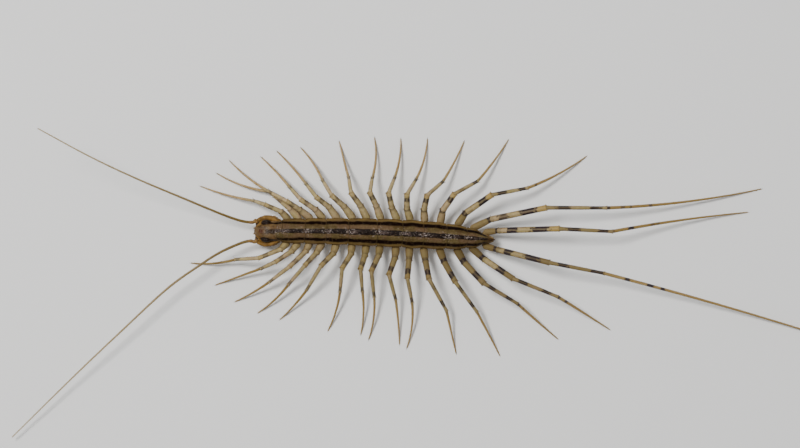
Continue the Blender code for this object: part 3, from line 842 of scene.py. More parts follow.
def flecks(name):
    """Scattered small pale flecks, in patches."""
    tree, given = group_tree(name, (("Scale", 5000.0), ("Size", 0.3)))
    drift = add(tree, "ShaderNodeTexNoise", {"Vector": object_place(tree), "Scale": 9000.0})
    place = total(tree, object_place(tree), scaled(tree, drift.outputs["Color"], 0.00016))
    spots = add(tree, "ShaderNodeTexVoronoi", {"Vector": place, "Scale": given["Scale"]})
    inner = times(tree, given["Size"], 0.4)
    dots = mask(tree, spots.outputs["Distance"], given["Size"], inner)
    broken = mask(tree, noise(tree, 11000.0), 0.38, 0.56)
    patches = times(tree, mask(tree, noise(tree, 1100.0), 0.42, 0.58), broken)
    return close_group(tree, {"Fleck": times(tree, dots, patches)})


def leg_bands(name):
    """Ragged dark bands round a leg, lighter along its top as a painted highlight, with painted
    shade on its flanks.
    """
    tree, _ = group_tree(name, ())
    band = stored(tree, "band")
    flank = stored(tree, "flank")
    ragged = linear(tree, noise(tree, 2400.0, 3.0), 1.1, -0.55)
    rough = maths(tree, "ADD", band, ragged)
    uneven = maths(tree, "ADD", flank, times(tree, ragged, 0.7))
    # Painted highlight: the bands are lighter along the top and underside than on the flanks
    ridge = linear(tree, mask(tree, uneven, 0.1, 0.45), 0.3, 0.7)
    dark = times(tree, mask(tree, rough, 0.3, 0.58), ridge)
    deep = times(tree, dark, stored(tree, "depth"))
    # Flank Shade is painted shade on the flanks; Top Highlight is a painted highlight along the top
    # and underside
    return close_group(tree, {"Band": deep, "Flank Shade": mask(tree, uneven, 0.62, 1.0),
                              "Top Highlight": mask(tree, flank, 0.45, 0.05)})


def new_material(name, roughness, gloss, **constants):
    """A material whose plain values are set on the shader's own sockets."""
    material = bpy.data.materials.new(name)
    material.use_nodes = True
    shader = material.node_tree.nodes["Principled BSDF"]
    shader.inputs["Roughness"].default_value = roughness
    shader.inputs["Specular IOR Level"].default_value = gloss
    for label, value in constants.items():
        shader.inputs[label.replace("_", " ").title()].default_value = value
    return material, material.node_tree, shader


def bumped(tree, shader, height, distance, strength=0.5):
    node = add(tree, "ShaderNodeBump",
               {"Height": height, "Distance": distance, "Strength": strength})
    tree.links.new(node.outputs[0], shader.inputs["Normal"])


def dress(tree, shader, base, factor, low, high):
    """Joins a colour to the shader, with a roughness that a factor moves from low to high."""
    tree.links.new(base, shader.inputs["Base Color"])
    spread = add(tree, "ShaderNodeMapRange", {0: factor, 3: low, 4: high})
    tree.links.new(spread.outputs[0], shader.inputs["Roughness"])


def plate_finish(colours):
    """Olive brown plates with dark stripes, an ochre margin and pale flecks."""
    material, tree, shader = new_material("back_plates", 0.5, 0.05,
                                          Coat_Weight=0.01, Coat_Roughness=0.3)
    skin = placed(tree, cuticle, scale=1500.0, lengthwise=0.4)
    pattern = placed(tree, back_pattern)
    base = mottled(tree, skin, colours.plate_dark, colours.plate)
    rosy = times(tree, mask(tree, noise(tree, 420.0), 0.48, 0.6), 0.65)
    base = laid(tree, base, colours.plate_rosy, rosy)
    grainy = mask(tree, skin["Grain"], 0.4, 0.75)
    base = laid(tree, base, colours.plate_pale, grainy, 0.45)
    ochre = times(tree, pattern["Margin"], linear(tree, skin["Mottle"], 0.5, 0.5))
    base = laid(tree, base, colours.margin, ochre)
    base = laid(tree, base, colours.plate_dark, pattern["Halo"], 0.6)
    base = laid(tree, base, colours.fleck, pattern["Chevron"], 0.4)
    base = laid(tree, base, colours.stripe, pattern["Side"])
    base = laid(tree, base, colours.median, pattern["Median"])
    base = laid(tree, base, colours.streak, pattern["Streak"], 0.6)
    base = laid(tree, base, colours.rim, pattern["Rim"], 0.7)
    base = laid(tree, base, colours.tail, pattern["Tail"], 0.75)
    spots = placed(tree, flecks, scale=5200.0, size=0.36)["Fleck"]
    across = from_middle(tree)
    wide = times(tree, mask(tree, across, 0.66, 0.4), pattern["Front"])
    fore = linear(tree, mask(tree, stored(tree, "front_gap"), 2.8, 1.2), 0.75, 0.25)
    narrow = times(tree, mask(tree, across, 0.5, 0.1), fore)
    inward = maths(tree, "MAXIMUM", narrow, wide)
    base = laid(tree, base, colours.fleck, times(tree, spots, inward), 0.75)
    powder = maths(tree, "MAXIMUM", pattern["Lips"], pattern["Dusty"])
    pale = times(tree, powder, mask(tree, skin["Grain"], 0.55, 0.66))
    base = laid(tree, base, colours.fleck, pale)
    dress(tree, shader, base, skin["Grain"], 0.38, 0.65)
    bumped(tree, shader, skin["Pits"], 0.00002)
    return material


def skin_finish(colours):
    """Soft folded skin between the hard plates, with painted shade in its creases and under the
    plates' edges.
    """
    material, tree, shader = new_material("soft_skin", 0.5, 0.3)
    skin = placed(tree, cuticle, scale=1900.0)
    base = mottled(tree, skin, colours.skin_dark_and_fold_shade, colours.skin)
    # Painted shade in the creases and under the plates' edges
    base = laid(tree, base, colours.skin_dark_and_fold_shade, stored(tree, "fold"))
    dress(tree, shader, base, skin["Grain"], 0.4, 0.65)
    bumped(tree, shader, skin["Grain"], 0.00003)
    return material


def head_finish(colours):
    """Brown head with a darker middle, pale flecks and amber sides."""
    material, tree, shader = new_material("head_capsule", 0.5, 0.09,
                                          Coat_Weight=0.01, Coat_Roughness=0.25)
    skin = placed(tree, cuticle, scale=1900.0)
    base = mottled(tree, skin, colours.head_dark, colours.head)
    across = from_middle(tree)
    station = stored(tree, "station")
    wobble = linear(tree, noise(tree, 1800.0), 0.36, -0.18)
    middle_band = mask(tree, maths(tree, "ADD", across, wobble), 0.36, 0.14)
    rear = linear(tree, mask(tree, station, 0.038, 0.056), 0.8, 0.2)
    dark = times(tree, times(tree, middle_band, rear), 0.85)
    base = laid(tree, base, colours.plate_pale, mask(tree, noise(tree, 900.0), 0.48, 0.6), 0.3)
    base = laid(tree, base, colours.median, dark)
    away = apart(tree, station, 0.028)
    spot = times(tree, mask(tree, away, 0.013, 0.004), mask(tree, across, 0.3, 0.1))
    base = laid(tree, base, colours.head_spot, spot, 0.9)
    amber = mottled(tree, skin, colours.amber_dark, colours.amber)
    outer = linear(tree, mask(tree, station, 0.045, 0.06), -0.24, across)
    outer = linear(tree, mask(tree, station, 0.035, 0.015), 0.18, outer)
    base = blend(tree, mask(tree, outer, 0.72, 0.9), base, amber)
    wavy = linear(tree, wobble, 0.35, across)
    line = apart(tree, wavy, 0.87)
    stripe = times(tree, mask(tree, line, 0.1, 0.05), mask(tree, station, 0.05, 0.068))
    base = laid(tree, base, colours.stripe, stripe)
    spots = placed(tree, flecks, scale=6400.0, size=0.34)["Fleck"]
    inward = times(tree, mask(tree, across, 0.65, 0.3), 0.75)
    far = apart(tree, station, 0.05)
    speckle = times(tree, mask(tree, skin["Grain"], 0.52, 0.64), mask(tree, far, 0.022, 0.006))
    speckle = times(tree, times(tree, speckle, inward), 0.4)
    base = laid(tree, base, colours.fleck, speckle)
    base = laid(tree, base, colours.fleck, times(tree, spots, inward))
    dress(tree, shader, base, skin["Grain"], 0.35, 0.6)
    bumped(tree, shader, skin["Pits"], 0.00002)
    return material


def eye_finish(colours):
    """Black facets with a thin gloss and slightly browner grooves."""
    material, tree, shader = new_material("faceted_eyes", 0.3, 0.12,
                                          Coat_Weight=0.08, Coat_Roughness=0.08)
    dome = stored(tree, "dome")
    shade = placed(tree, cuticle, scale=2600.0)["Mottle"]
    facet = blend(tree, times(tree, shade, 0.5), colour(colours.eye), colour(colours.eye_haze))
    base = blend(tree, dome, colour(colours.eye_groove), facet)
    dress(tree, shader, base, dome, 0.5, 0.2)
    return material


def amber_finish(colours):
    """Clear amber of jaws and feelers, which pale to their tips, with dark claws."""
    material, tree, shader = new_material("amber_horn", 0.4, 0.3,
                                          Coat_Weight=0.08, Coat_Roughness=0.2)
    skin = placed(tree, cuticle, scale=2200.0)
    base = mottled(tree, skin, colours.amber_dark, colours.amber)
    ringed = stored(tree, "ringed")
    base = laid(tree, base, colours.feeler, ringed, 0.85)
    paling = times(tree, ringed, mask(tree, stored(tree, "along"), 0.4, 1.0))
    base = laid(tree, base, colours.feeler_tip, paling)
    groove = times(tree, mask(tree, stored(tree, "ring"), 0.2, 0.0), ringed)
    base = laid(tree, base, colours.amber_dark, groove, 0.3)
    base = laid(tree, base, colours.spine, stored(tree, "claw"))
    dress(tree, shader, base, skin["Grain"], 0.32, 0.55)
    bumped(tree, shader, skin["Grain"], 0.00001)
    return material


def leg_finish(colours):
    """Tan legs with ragged dark bands before the joints, a painted highlight along the top, painted
    shade on the flanks and darker joints.
    """
    material, tree, shader = new_material("banded_legs", 0.5, 0.16,
                                          Coat_Weight=0.02, Coat_Roughness=0.3)
    skin = placed(tree, cuticle, scale=2300.0)
    bands = placed(tree, leg_bands)
    base = mottled(tree, skin, colours.leg_dark, colours.leg)
    base = laid(tree, base, colours.leg_rosy, mask(tree, noise(tree, 380.0), 0.5, 0.64), 0.6)
    base = laid(tree, base, colours.leg_olive, mask(tree, noise(tree, 450.0), 0.5, 0.36), 0.5)
    # Painted highlight along the top of the legs
    base = laid(tree, base, colours.leg_top_highlight, bands["Top Highlight"], 0.35)
    tone = stored(tree, "tone")
    # Partly the legs' own deeper colour, partly painted shade on the left and hind legs; beyond
    # one, painted shade at the roots of the left hind legs
    base = laid(tree, base, colours.leg_deep_and_shade, tone)
    base = laid(tree, base, colours.leg_root_shade, maths(tree, "SUBTRACT", tone, 1.0))
    # Painted shade on the legs' flanks
    base = laid(tree, base, colours.leg_flank_shade_and_joint, bands["Flank Shade"], 0.9)
    base = laid(tree, base, colours.leg_knee, stored(tree, "knee"))
    base = laid(tree, base, colours.band, bands["Band"])
    # Darker inside the joints, in the colour of the painted flank shade
    base = laid(tree, base, colours.leg_flank_shade_and_joint, stored(tree, "cup"))
    dress(tree, shader, base, skin["Grain"], 0.38, 0.62)
    bumped(tree, shader, skin["Grain"], 0.00002)
    return material


def tarsus_finish(colours):
    """Ochre ends of the legs, greyer towards the tip, with faint bands and painted shade on the
    left and hind ones.
    """
    material, tree, shader = new_material("ochre_tarsi", 0.5, 0.25,
                                          Coat_Weight=0.03, Coat_Roughness=0.3)
    skin = placed(tree, cuticle, scale=2300.0)
    bands = placed(tree, leg_bands)
    along = stored(tree, "along")
    root = mottled(tree, skin, colours.leg_dark, colours.leg)
    ochre = mottled(tree, skin, colours.tarsus_dark, colours.tarsus)
    base = blend(tree, mask(tree, along, 0.0, 0.25), root, ochre)
    base = laid(tree, base, colours.tarsus_tip, mask(tree, along, 0.85, 1.0))
    # Deeper colour on the left and hind tarsi, partly painted shade
    base = laid(tree, base, colours.tarsus_gold_and_shade, stored(tree, "tone"))
    groove = mask(tree, stored(tree, "ring"), 0.2, 0.0)
    base = laid(tree, base, colours.tarsus_dark, groove, 0.35)
    base = laid(tree, base, colours.band, bands["Band"])
    dress(tree, shader, base, skin["Grain"], 0.38, 0.62)
    return material


def spine_finish(colours):
    """Brown spines and hairs that darken to the tip, with small changes from one to the next."""
    material, tree, shader = new_material("dark_spines", 0.45, 0.3)
    shade = placed(tree, cuticle, scale=900.0)["Mottle"]
    tip = blend(tree, shade, colour(colours.spine), colour(colours.spine_pale))
    reach = mask(tree, stored(tree, "rise"), 0.05, 0.6)
    tree.links.new(blend(tree, reach, colour(colours.spine_root), tip), shader.inputs["Base Color"])
    return material


def floor_finish(colours):
    """A plain pale matt floor."""
    material, tree, shader = new_material("pale_floor", 0.8, 0.2)
    shade = noise(tree, 40.0, 4.0)
    tree.links.new(blend(tree, shade, colour(colours.floor), colour(colours.floor_shade)),
                   shader.inputs["Base Color"])
    bumped(tree, shader, noise(tree, 3000.0), 0.00001, 0.2)
    return material


FINISHES = {"plates": plate_finish, "skin": skin_finish, "head": head_finish, "eye": eye_finish,
            "amber": amber_finish, "leg": leg_finish, "tarsus": tarsus_finish,
            "spine": spine_finish, "floor": floor_finish}
MADE = {}


def finish(name):
    """A material, built when it is first asked for."""
    if name not in MADE:
        MADE[name] = FINISHES[name](bpy.context.scene.centipede_colours)
    return MADE[name]


def tree_for(maker):
    """A Geometry Nodes tree, built when it is first asked for."""
    if maker not in MADE:
        MADE[maker] = maker()
    return MADE[maker]


# Trunk


def skin_rows():
    """Stations along the soft trunk, with its half width, lowest and highest point."""
    x = np.arange(2.75, 32.0, 0.1)
    width = np.minimum(core_width(x) + 0.25, 0.86 * half_width(x))
    low = BELLY_Z + 0.9 * step_up(x, 30.4, 32.2)
    high = core_top(x) - 0.3 - 0.5 * step_up(x, 30.6, 32.0)
    return x, width, low, high


def make_trunk_skin():
    """The soft trunk, with belly plates, bulges at the hips and folds between them."""
    x, width, low, high = skin_rows()
    closing = np.sqrt(1 - (1 - np.clip((x - x[0] + 0.03) / 0.35, 0.0, 1.0)) ** 2)
    width = width * closing
    centre_z = (low + high) / 2
    half_z = (high - low) / 2 * closing
    angles = round_angles(TRUNK_SIDES)
    stations = np.array(HIP_STATIONS)
    borders = (stations[1:] + stations[:-1]) / 2
    to_hip = np.abs(x[:, None] - stations).min(axis=1)[:, None]
    to_border = np.abs(x[:, None] - borders).min(axis=1)[:, None]
    turn = np.degrees(np.abs((angles + math.pi) % (2 * math.pi) - math.pi))[None, :]
    hips = 0.14 * hump(to_hip, 0.5) * hump(turn - 112, 22)
    belly = 0.07 * step_up(to_border, 0.05, 0.22) * step_up(turn, 140, 150)
    groove = 0.1 * hump(to_border, 0.09) * step_up(turn, 35, 60)
    keel = 0.04 * hump(turn - 180, 8) * step_up(to_border, 0.1, 0.4)
    wrinkles = 0.014 * np.sin(2 * math.pi * x / 0.19)[:, None] * hump(turn - 75, 26)
    swell = (hips + belly - groove + wrinkles - keel) * closing[:, None]
    across = squared(np.sin(angles), CORE_SQUARENESS)
    up = squared(np.cos(angles), CORE_SQUARENESS)
    grid = np.empty((len(x), TRUNK_SIDES, 3))
    grid[..., 0] = x[:, None]
    grid[..., 1] = middle(x)[:, None] + (width[:, None] + swell) * across
    grid[..., 2] = centre_z[:, None] + (half_z[:, None] + swell) * up
    # Painted shade: darker in the creases between segments and in a band under the plates' edges,
    # but not on the belly plates
    fold = np.clip(9 * groove + 0.35 * hump(turn - 75, 24) - belly * 8, 0.0, 1.0)
    shape = Shape("fold")
    shape.add_tube(grid, fold=fold)
    skin = shape.make("trunk_skin", finish("skin"))
    ride(skin, "tergite", "trunk_front", "trunk_middle", "trunk_rear", "trunk_hind")


def plate_top(number, s, t, sizes):
    """Points on the top of a back plate, from shares across and along, and their rear gap."""
    start, end = PLATE_EDGES[number], PLATE_EDGES[number + 1]
    first, last = number == 0, number == len(PLATE_EDGES) - 2
    front_round = NECK_ROUND if first else PLATE_FRONT_ROUND
    rear_round = TAIL_ROUND * s ** 2 if last else PLATE_REAR_ROUND * s ** 4
    notch = 0.0 if last else STOMA_NOTCH * hump(s, STOMA_WIDTH)
    rear = end + PLATE_OVERLAP - notch - rear_round
    front = start + front_round * s ** 4
    x = front + (rear - front) * t
    rear_gap = (rear - front) * (1 - t)
    wide = half_width(x) * (PLATE_WAIST + (1 - PLATE_WAIST) * np.sin(math.pi * t))
    if first:
        wide = ramp(t, NECK_WIDTHS)
    if last:
        wide = wide * (1 - 0.1 * step_up(t, 0.6, 1.0))
    z = PLATE_MARGIN_Z + PLATE_RISE * (1 - np.abs(s) ** PLATE_ARCH_POWER) + PLATE_LIFT * t
    z = z + core_top(x) - CORE_TOP_Z
    to_side = (1 - np.abs(s)) * wide
    z = z + mm(sizes.margin_bead) * (hump(to_side - 0.06, 0.07) + hump(rear_gap - 0.06, 0.08))
    if not last:
        lips = hump(np.abs(s) * wide - 0.24, 0.09) * hump(rear_gap - 0.1, 0.35)
        z = z + mm(sizes.stoma_lip) * lips - 0.03 * hump(s * wide, 0.12) * hump(rear_gap, 0.3)
    z = z + 0.012 * np.sin(2 * math.pi * rear_gap / 0.9) * step_up(rear_gap, 0.3, 0.9)
    return np.stack([x, middle(x) + wide * s, z], axis=-1), rear_gap


def spaced(count):
    """Shares from 0 to 1 that lie closer together at both ends."""
    return (1 - np.cos(math.pi * np.arange(count) / (count - 1))) / 2


def make_back_plates(sizes):
    """Arched overlapping plates with a bead round the rim and a lipped notch behind."""
    t, s = np.meshgrid(spaced(30), 2 * spaced(57) - 1, indexing="ij")
    thick = mm(sizes.plate_thickness)
    last = len(PLATE_EDGES) - 2
    for number in range(last + 1):
        top, rear_gap = plate_top(number, s, t, sizes)
        rear_gap = rear_gap + (number == last)
        bottom = top - (0, 0, thick)
        bottom[..., 1] -= 0.5 * thick * s
        shape = Shape(*PLATE_VALUES)
        shape.add_slab(top, bottom, thick / 2, across=s, station=top[..., 0] / BODY_LENGTH,
                       rear_gap=rear_gap,
                       front_gap=top[..., 0] - PLATE_EDGES[number] - PLATE_OVERLAP)
        ride(shape.make(f"back_plate_{number:02d}", finish("plates")), "tergite")


def plate_bristles(sizes, roots):
    """Short bristles scattered on the plates, and a row of longer ones down each margin."""
    dice = np.random.default_rng(BRISTLE_SEED)
    for number in range(len(PLATE_EDGES) - 1):
        length = PLATE_EDGES[number + 1] - PLATE_EDGES[number]
        count = int(sizes.bristles_per_mm * length)
        s = dice.uniform(-0.93, 0.93, count)
        t = dice.uniform(0.1, 0.97, count)
        points, _ = plate_top(number, s, t, sizes)
        aims = np.stack([np.full(count, 1.0), 0.5 * s, np.full(count, 0.42)], axis=1)
        aims += dice.normal(0, 0.12, (count, 3))
        roots.add(points - (0, 0, 0.01), aims, (1.0, 0.0, -0.6),
                  mm(sizes.bristle_length) * dice.uniform(0.6, 1.1, count), flat_back(points, s))
        rows = max(3, int(3.5 * length))
        for side in (-1, 1):
            t = (np.arange(rows) + 0.5) / rows
            s = np.full(rows, side * 0.99)
            points, _ = plate_top(number, s, t, sizes)
            aims = np.tile((0.9, side * 0.8, -0.05), (rows, 1))
            aims += dice.normal(0, 0.1, (rows, 3))
            roots.add(points - (0, 0, 0.05), aims, (1.0, 0.0, -0.3),
                      mm(sizes.bristle_length) * dice.uniform(1.0, 1.5, rows), flat_back(points, s))


def flat_back(points, s):
    """The places of points on the back, laid out flat."""
    return np.stack([points[:, 0] / (BODY_LENGTH + 1), 0.5 + 0.45 * s], axis=1)


def make_tail():
    """The small pointed tail end, with a pair of short feelers under it."""
    shape = Shape(*PLATE_VALUES)
    x = np.linspace(30.6, 32.2, 30)
    share = (x - x[0]) / (x[-1] - x[0])
    path = np.stack([x, middle(x), 3.45 - 0.35 * share], axis=1)
    round_off = np.maximum((1 - share ** 1.2) ** 0.8, 0.02)
    grid = rings(path, 0.45 * round_off, 0.36 * round_off, TAIL_SIDES)
    across = np.sin(round_angles(TAIL_SIDES))[None, :]
    shape.add_tube(grid, across=across, station=x[:, None] / BODY_LENGTH, rear_gap=0.5,
                   front_gap=3.0)
    for side in (-1, 1):
        stops = ((31.0, side * 0.24, 2.7), (31.45, side * 0.28, 2.55), (31.8, side * 0.2, 2.6))
        path = smooth(stops, 8)
        path[:, 1] += middle(path[:, 0])
        share = np.linspace(0, 1, len(path))
        radii = 0.16 * np.sqrt(1.02 - share ** 2) * (1 - 0.15 * hump(share - 0.5, 0.07))
        shape.add_tube(rings(path, radii, radii, 14), across=1.0, station=0.97, rear_gap=0.5,
                       front_gap=3.0)
    ride(shape.make("tail_end", finish("plates")), "tergite", "telson")


# Head


def make_head(sizes):
    """The head capsule, with rims round the eyes, a crease down the middle and a seam."""
    rows = smooth(HEAD_SECTIONS, 14)
    angles = round_angles(HEAD_SIDES)
    x, wide, low, high = rows.T
    up = squared(np.cos(angles), HEAD_SQUARENESS)
    grid = np.empty((len(x), HEAD_SIDES, 3))
    grid[..., 0] = x[:, None]
    grid[..., 1] = wide[:, None] * squared(np.sin(angles), HEAD_SQUARENESS)
    grid[..., 2] = ((low + high) / 2)[:, None] + ((high - low) / 2)[:, None] * up
    y = grid[..., 1]
    above = step_up(np.cos(angles), 0.0, 0.4)[None, :]
    lengthwise = grid[..., 0]
    crease = hump(y, 0.05) * step_up(lengthwise, 0.4, 0.8) * (1 - step_up(lengthwise, 2.3, 2.6))
    branch = np.abs(y) - 0.75 * np.maximum(0.95 - lengthwise, 0)
    fork = hump(branch, 0.06) * (1 - step_up(lengthwise, 0.8, 1.0))
    seam = hump(lengthwise - 2.45 + 0.12 * y ** 2, 0.06)
    brows = hump(np.abs(y) - 0.62, 0.16) * hump(lengthwise - 1.5, 0.8)
    lift = 0.07 * brows - 0.05 * crease - 0.04 * seam - 0.035 * fork * step_up(lengthwise, 0.1, 0.3)
    grid[..., 2] += lift * above
    for side in (-1, 1):
        centre = np.array((EYE_CENTRE[0], side * EYE_CENTRE[1], EYE_CENTRE[2]))
        offset = (grid - centre) / EYE_RADII
        distance = np.linalg.norm(offset, axis=-1)
        outward = unit(grid - (centre[0], 0.0, 3.2))
        push = mm(sizes.eye_rim) * hump(distance - 1.2, 0.12) - 0.34 * hump(distance, 0.85)
        grid += push[..., None] * outward
        socket = np.linalg.norm(grid - (0.35, side * 1.0, 3.3), axis=-1)
        grid += (0.06 * hump(socket - 0.36, 0.1))[..., None] * outward
    grid[..., 1] += middle(grid[..., 0])
    shape = Shape("across", "station")
    shape.add_tube(grid, across=y / np.minimum(1.3, wide[:, None] + 0.12),
                   station=lengthwise / BODY_LENGTH)
    for side in (-1, 1):
        path = smooth(mirrored(CHEEK, side), 10)
        share = np.linspace(0, 1, len(path))
        radii = ramp(share, ((0.0, 0.12), (0.12, 0.27), (0.5, 0.34), (0.8, 0.26), (1.0, 0.08)))
        shape.add_tube(rings(path, radii, 0.75 * radii, 24), across=1.0, station=0.0)
        path = smooth(mirrored(JOWL, side), 8)
        radii = 0.34 * np.sqrt(np.sin(math.pi * np.linspace(0.1, 0.9, len(path))))
        shape.add_tube(rings(path, radii, radii, 24), across=0.87, station=0.0)
    ride(shape.make("head_capsule", finish("head")), "head", "head")


def make_eyes(sizes):
    """A domed faceted eye on each side of the head."""
    for name, side, _, _ in SIDES:
        centre = (EYE_CENTRE[0], side * EYE_CENTRE[1] + middle(EYE_CENTRE[0]), EYE_CENTRE[2])
        eye = grow("eye_facets_" + name, bpy.data.meshes.new("seed"), tree_for(eye_tree),
                   centre=tuple(to_frame(centre)), radii=tuple(radius * MM for radius in EYE_RADII),
                   fineness=sizes.eye_fineness, material=finish("eye"))
        ride(eye, "eye", "eye_" + name)


def mirrored(stops, side):
    """Stops of the right side moved to a side and to the trunk's middle."""
    points = np.array(stops, float)
    points[:, 1] = side * points[:, 1] + middle(points[:, 0])
    return points


def make_mouthparts():
    """Curved jaws with a dark claw, the shield between them, mandibles and palps."""
    shape = Shape(*HORN_VALUES)
    for name, side, _, _ in SIDES:
        path = smooth(mirrored(FORCIPULE, side), 12)
        share = np.linspace(0, 1, len(path))
        radii = ramp(share, JAW_RADII)
        for joint in (0.2, 0.47, 0.6):
            radii = radii * (1 - 0.2 * hump(share - joint, 0.016)
                             + 0.1 * hump(share - joint + 0.05, 0.03))
        claw = step_up(share, 0.62, 0.85)[:, None]
        jaw = Shape(*HORN_VALUES)
        jaw.add_tube(rings(path, radii, 1.05 * radii, 28), claw=claw)
        ride(jaw.make("jaw_" + name, finish("amber")), "amber", "forcipule_" + name)
        palp = Shape(*HORN_VALUES)
        path = smooth(mirrored(PALP, side), 10)
        share = np.linspace(0, 1, len(path))
        radii = 0.11 * np.sqrt(1.03 - share ** 3) * (1 - 0.14 * hump(share - 0.4, 0.05)
                                                     - 0.14 * hump(share - 0.72, 0.05))
        palp.add_tube(rings(path, radii, radii, 18))
        ride(palp.make("palp_tip_" + name, finish("amber")), "amber", "palp_" + name)
        stops = ((1.3, side * 0.5, 2.15), (0.7, side * 0.48, 2.1), (0.2, side * 0.3, 2.15))
        path = smooth(stops, 8)
        share = np.linspace(0, 1, len(path))
        radii = 0.3 * np.sqrt(1.02 - share ** 2)
        shape.add_tube(rings(path, radii, 0.8 * radii, 20), claw=step_up(share, 0.75, 1.0)[:, None])
    v, u = np.meshgrid(spaced(24), 2 * spaced(41) - 1, indexing="ij")
    x = 1.15 + 0.35 * np.abs(u) ** 3 + (2.2 - 0.3 * np.abs(u) ** 2) * v
    x = x - 0.15 * hump(u, 0.12) * (v - 1)
    reach = 1.5 + 0.28 * np.sin(math.pi * np.clip(v * 0.9 + 0.1, 0, 1))
    top = np.stack([x, middle(x) + reach * u, 2.55 - 0.28 * (1 - u ** 2)], axis=-1)
    deep = 0.45 * (1 - 0.6 * u ** 2) - 0.06 * hump(u, 0.05)
    bottom = top - np.stack([0 * u, 0 * u, deep], axis=-1)
    shape.add_slab(top, bottom, 0.08)
    ride(shape.make("mouth_shield", finish("amber")), "amber")


def feeler_line(stops):
    """Points along a feeler and its radii, thickest in its two first joints."""
    path = smooth(stops, 10)
    lengths = reaches(path)
    share = lengths / lengths[-1]
    thin = ramp(share, ((0.0, 0.23), (0.04, 0.21), (0.15, 0.18), (0.5, 0.135), (1.0, 0.075)))
    thick = np.where(lengths < 1.35, 0.25 * (1 - 0.22 * hump(lengths - 0.75, 0.07)), 0.0)
    thick = thick * (1 - 0.4 * step_up(lengths, 1.1, 1.35))
    return path, lengths, np.maximum(thin, thick)


def make_feelers(sizes):
    """Two long feelers of many short rings."""
    for name, _, _, stops in SIDES:
        path, lengths, radii = feeler_line(stops)
        lines = Lines()
        lines.add(path, radii, ringed=step_up(lengths, 1.2, 1.6))
        feeler = grow("feeler_" + name, lines.mesh("line"), tree_for(ringed_tree),
                      ring_length=sizes.feeler_ring, ring_flare=0.12, sides=10,
                      material=finish("amber"))
        ride(feeler, "antenna", "antenna_" + name)


# Legs


class Segment:
    """One straight part of a leg, with a rounded five-ridged section."""

    def __init__(self, part, start, end, pair, sizes):
        self.part = part
        self.start = start
        self.length = np.linalg.norm(end - start)
        self.along = unit(end - start)
        self.across = unit(np.cross(self.along, (0.0, 0.0, 1.0)))
        self.up = np.cross(self.across, self.along)
        self.wide = mm(getattr(sizes, part + "_radius")) * ramp(pair, PART_WIDTHS[part])
        self.high = self.wide * (0.86 if part == "prefemur" else 0.95)
        self.arch = 0.025 * self.length if part in ("femur", "tibia") else 0.0

    def outward(self, angle):
        """Away from the middle at an angle round from the top."""
        angle = np.asarray(angle, float)[..., None]
        return np.sin(angle) * self.across + np.cos(angle) * self.up

    def surface(self, t, share, angle):
        """Points at shares of the length and of the radius, at angles round from the top."""
        t, share, angle = np.broadcast_arrays(t, share, angle)
        middle_share = np.clip(t, 0.0, 1.0)
        ridge = 1 + 0.07 * np.cos(5 * angle) * np.sqrt(np.sin(math.pi * middle_share))
        horn = HORNS[self.part] * step_up(t, 1 - 0.35 / self.length, 1.0) * np.sin(angle) ** 2
        forward = t * self.length + horn
        rise = self.arch * np.sin(math.pi * middle_share)
        wide = self.wide * share * ridge * np.sin(angle)
        high = self.high * share * ridge * np.cos(angle) + rise
        return (self.start + forward[..., None] * self.along + wide[..., None] * self.across
                + high[..., None] * self.up)

    def outline(self):
        """Shares of the length and radius, from inside the joint before to the skin in the rim."""
        outer = smooth(LEG_OUTLINES[self.part], 6)
        first, last = outer[0, 1], outer[-1, 1]
        lead = ((-0.14 / self.length, 0.5 * first), (-0.1 / self.length, 0.85 * first))
        lip = [(1 + forward / self.length, share * last) for forward, share in LIP]
        return np.vstack([lead, outer, lip]), len(lead), len(lead) + len(outer)

    def add_to(self, shape, name, pair):
        """Adds the part to a shape, with its tone and painted shade, and its dark bands."""
        stops, begin, end = self.outline()
        t, share = stops[:, :1], stops[:, 1:]
        angles = round_angles(LEG_SIDES)[None, :]
        bands = [(ramp(pair, centres), half, ramp(pair, depths))
                 for half, centres, depths in LEG_BANDS[name].get(self.part, ())]
        band, depth = band_values(t, bands)
        near_tones_and_shade = PART_TONES_AND_SHADE[name][self.part]
        place, far_tones_and_shade = END_TONES_AND_SHADE.get((name, self.part), (1.0, near_tones_and_shade))
        near_tone_and_shade, far_tone_and_shade = ramp(pair, near_tones_and_shade), ramp(pair, far_tones_and_shade)
        tone = near_tone_and_shade + (far_tone_and_shade - near_tone_and_shade) * step_up(t, place - 0.1, place + 0.1)
        # The pair's depth of colour, partly painted shade on the left and hind legs
        tone = ramp(pair, LEG_TONES_AND_SHADE[name]) * tone
        cup = np.ones(len(stops))
        cup[begin:end + 2] = 0.0
        knee = step_up(t, 0.8, 0.9) * (self.part == "femur") * ramp(pair, KNEE_TONES[name])
        shape.add_tube(self.surface(t, share, angles), band=band, depth=depth, tone=tone,
                       flank=np.abs(np.sin(angles)), cup=0.4 * cup[:, None], knee=knee)


def band_values(places, bands):
    """How near each place is to a dark band, and that band's depth."""
    near = np.zeros_like(places)
    depth = np.zeros_like(places)
    for centre, half, strength in bands:
        closeness = np.clip(1 - np.abs(places - centre) / (2 * half), 0.0, 1.0)
        depth = np.where(closeness > near, strength, depth)
        near = np.maximum(near, closeness)
    return near, depth


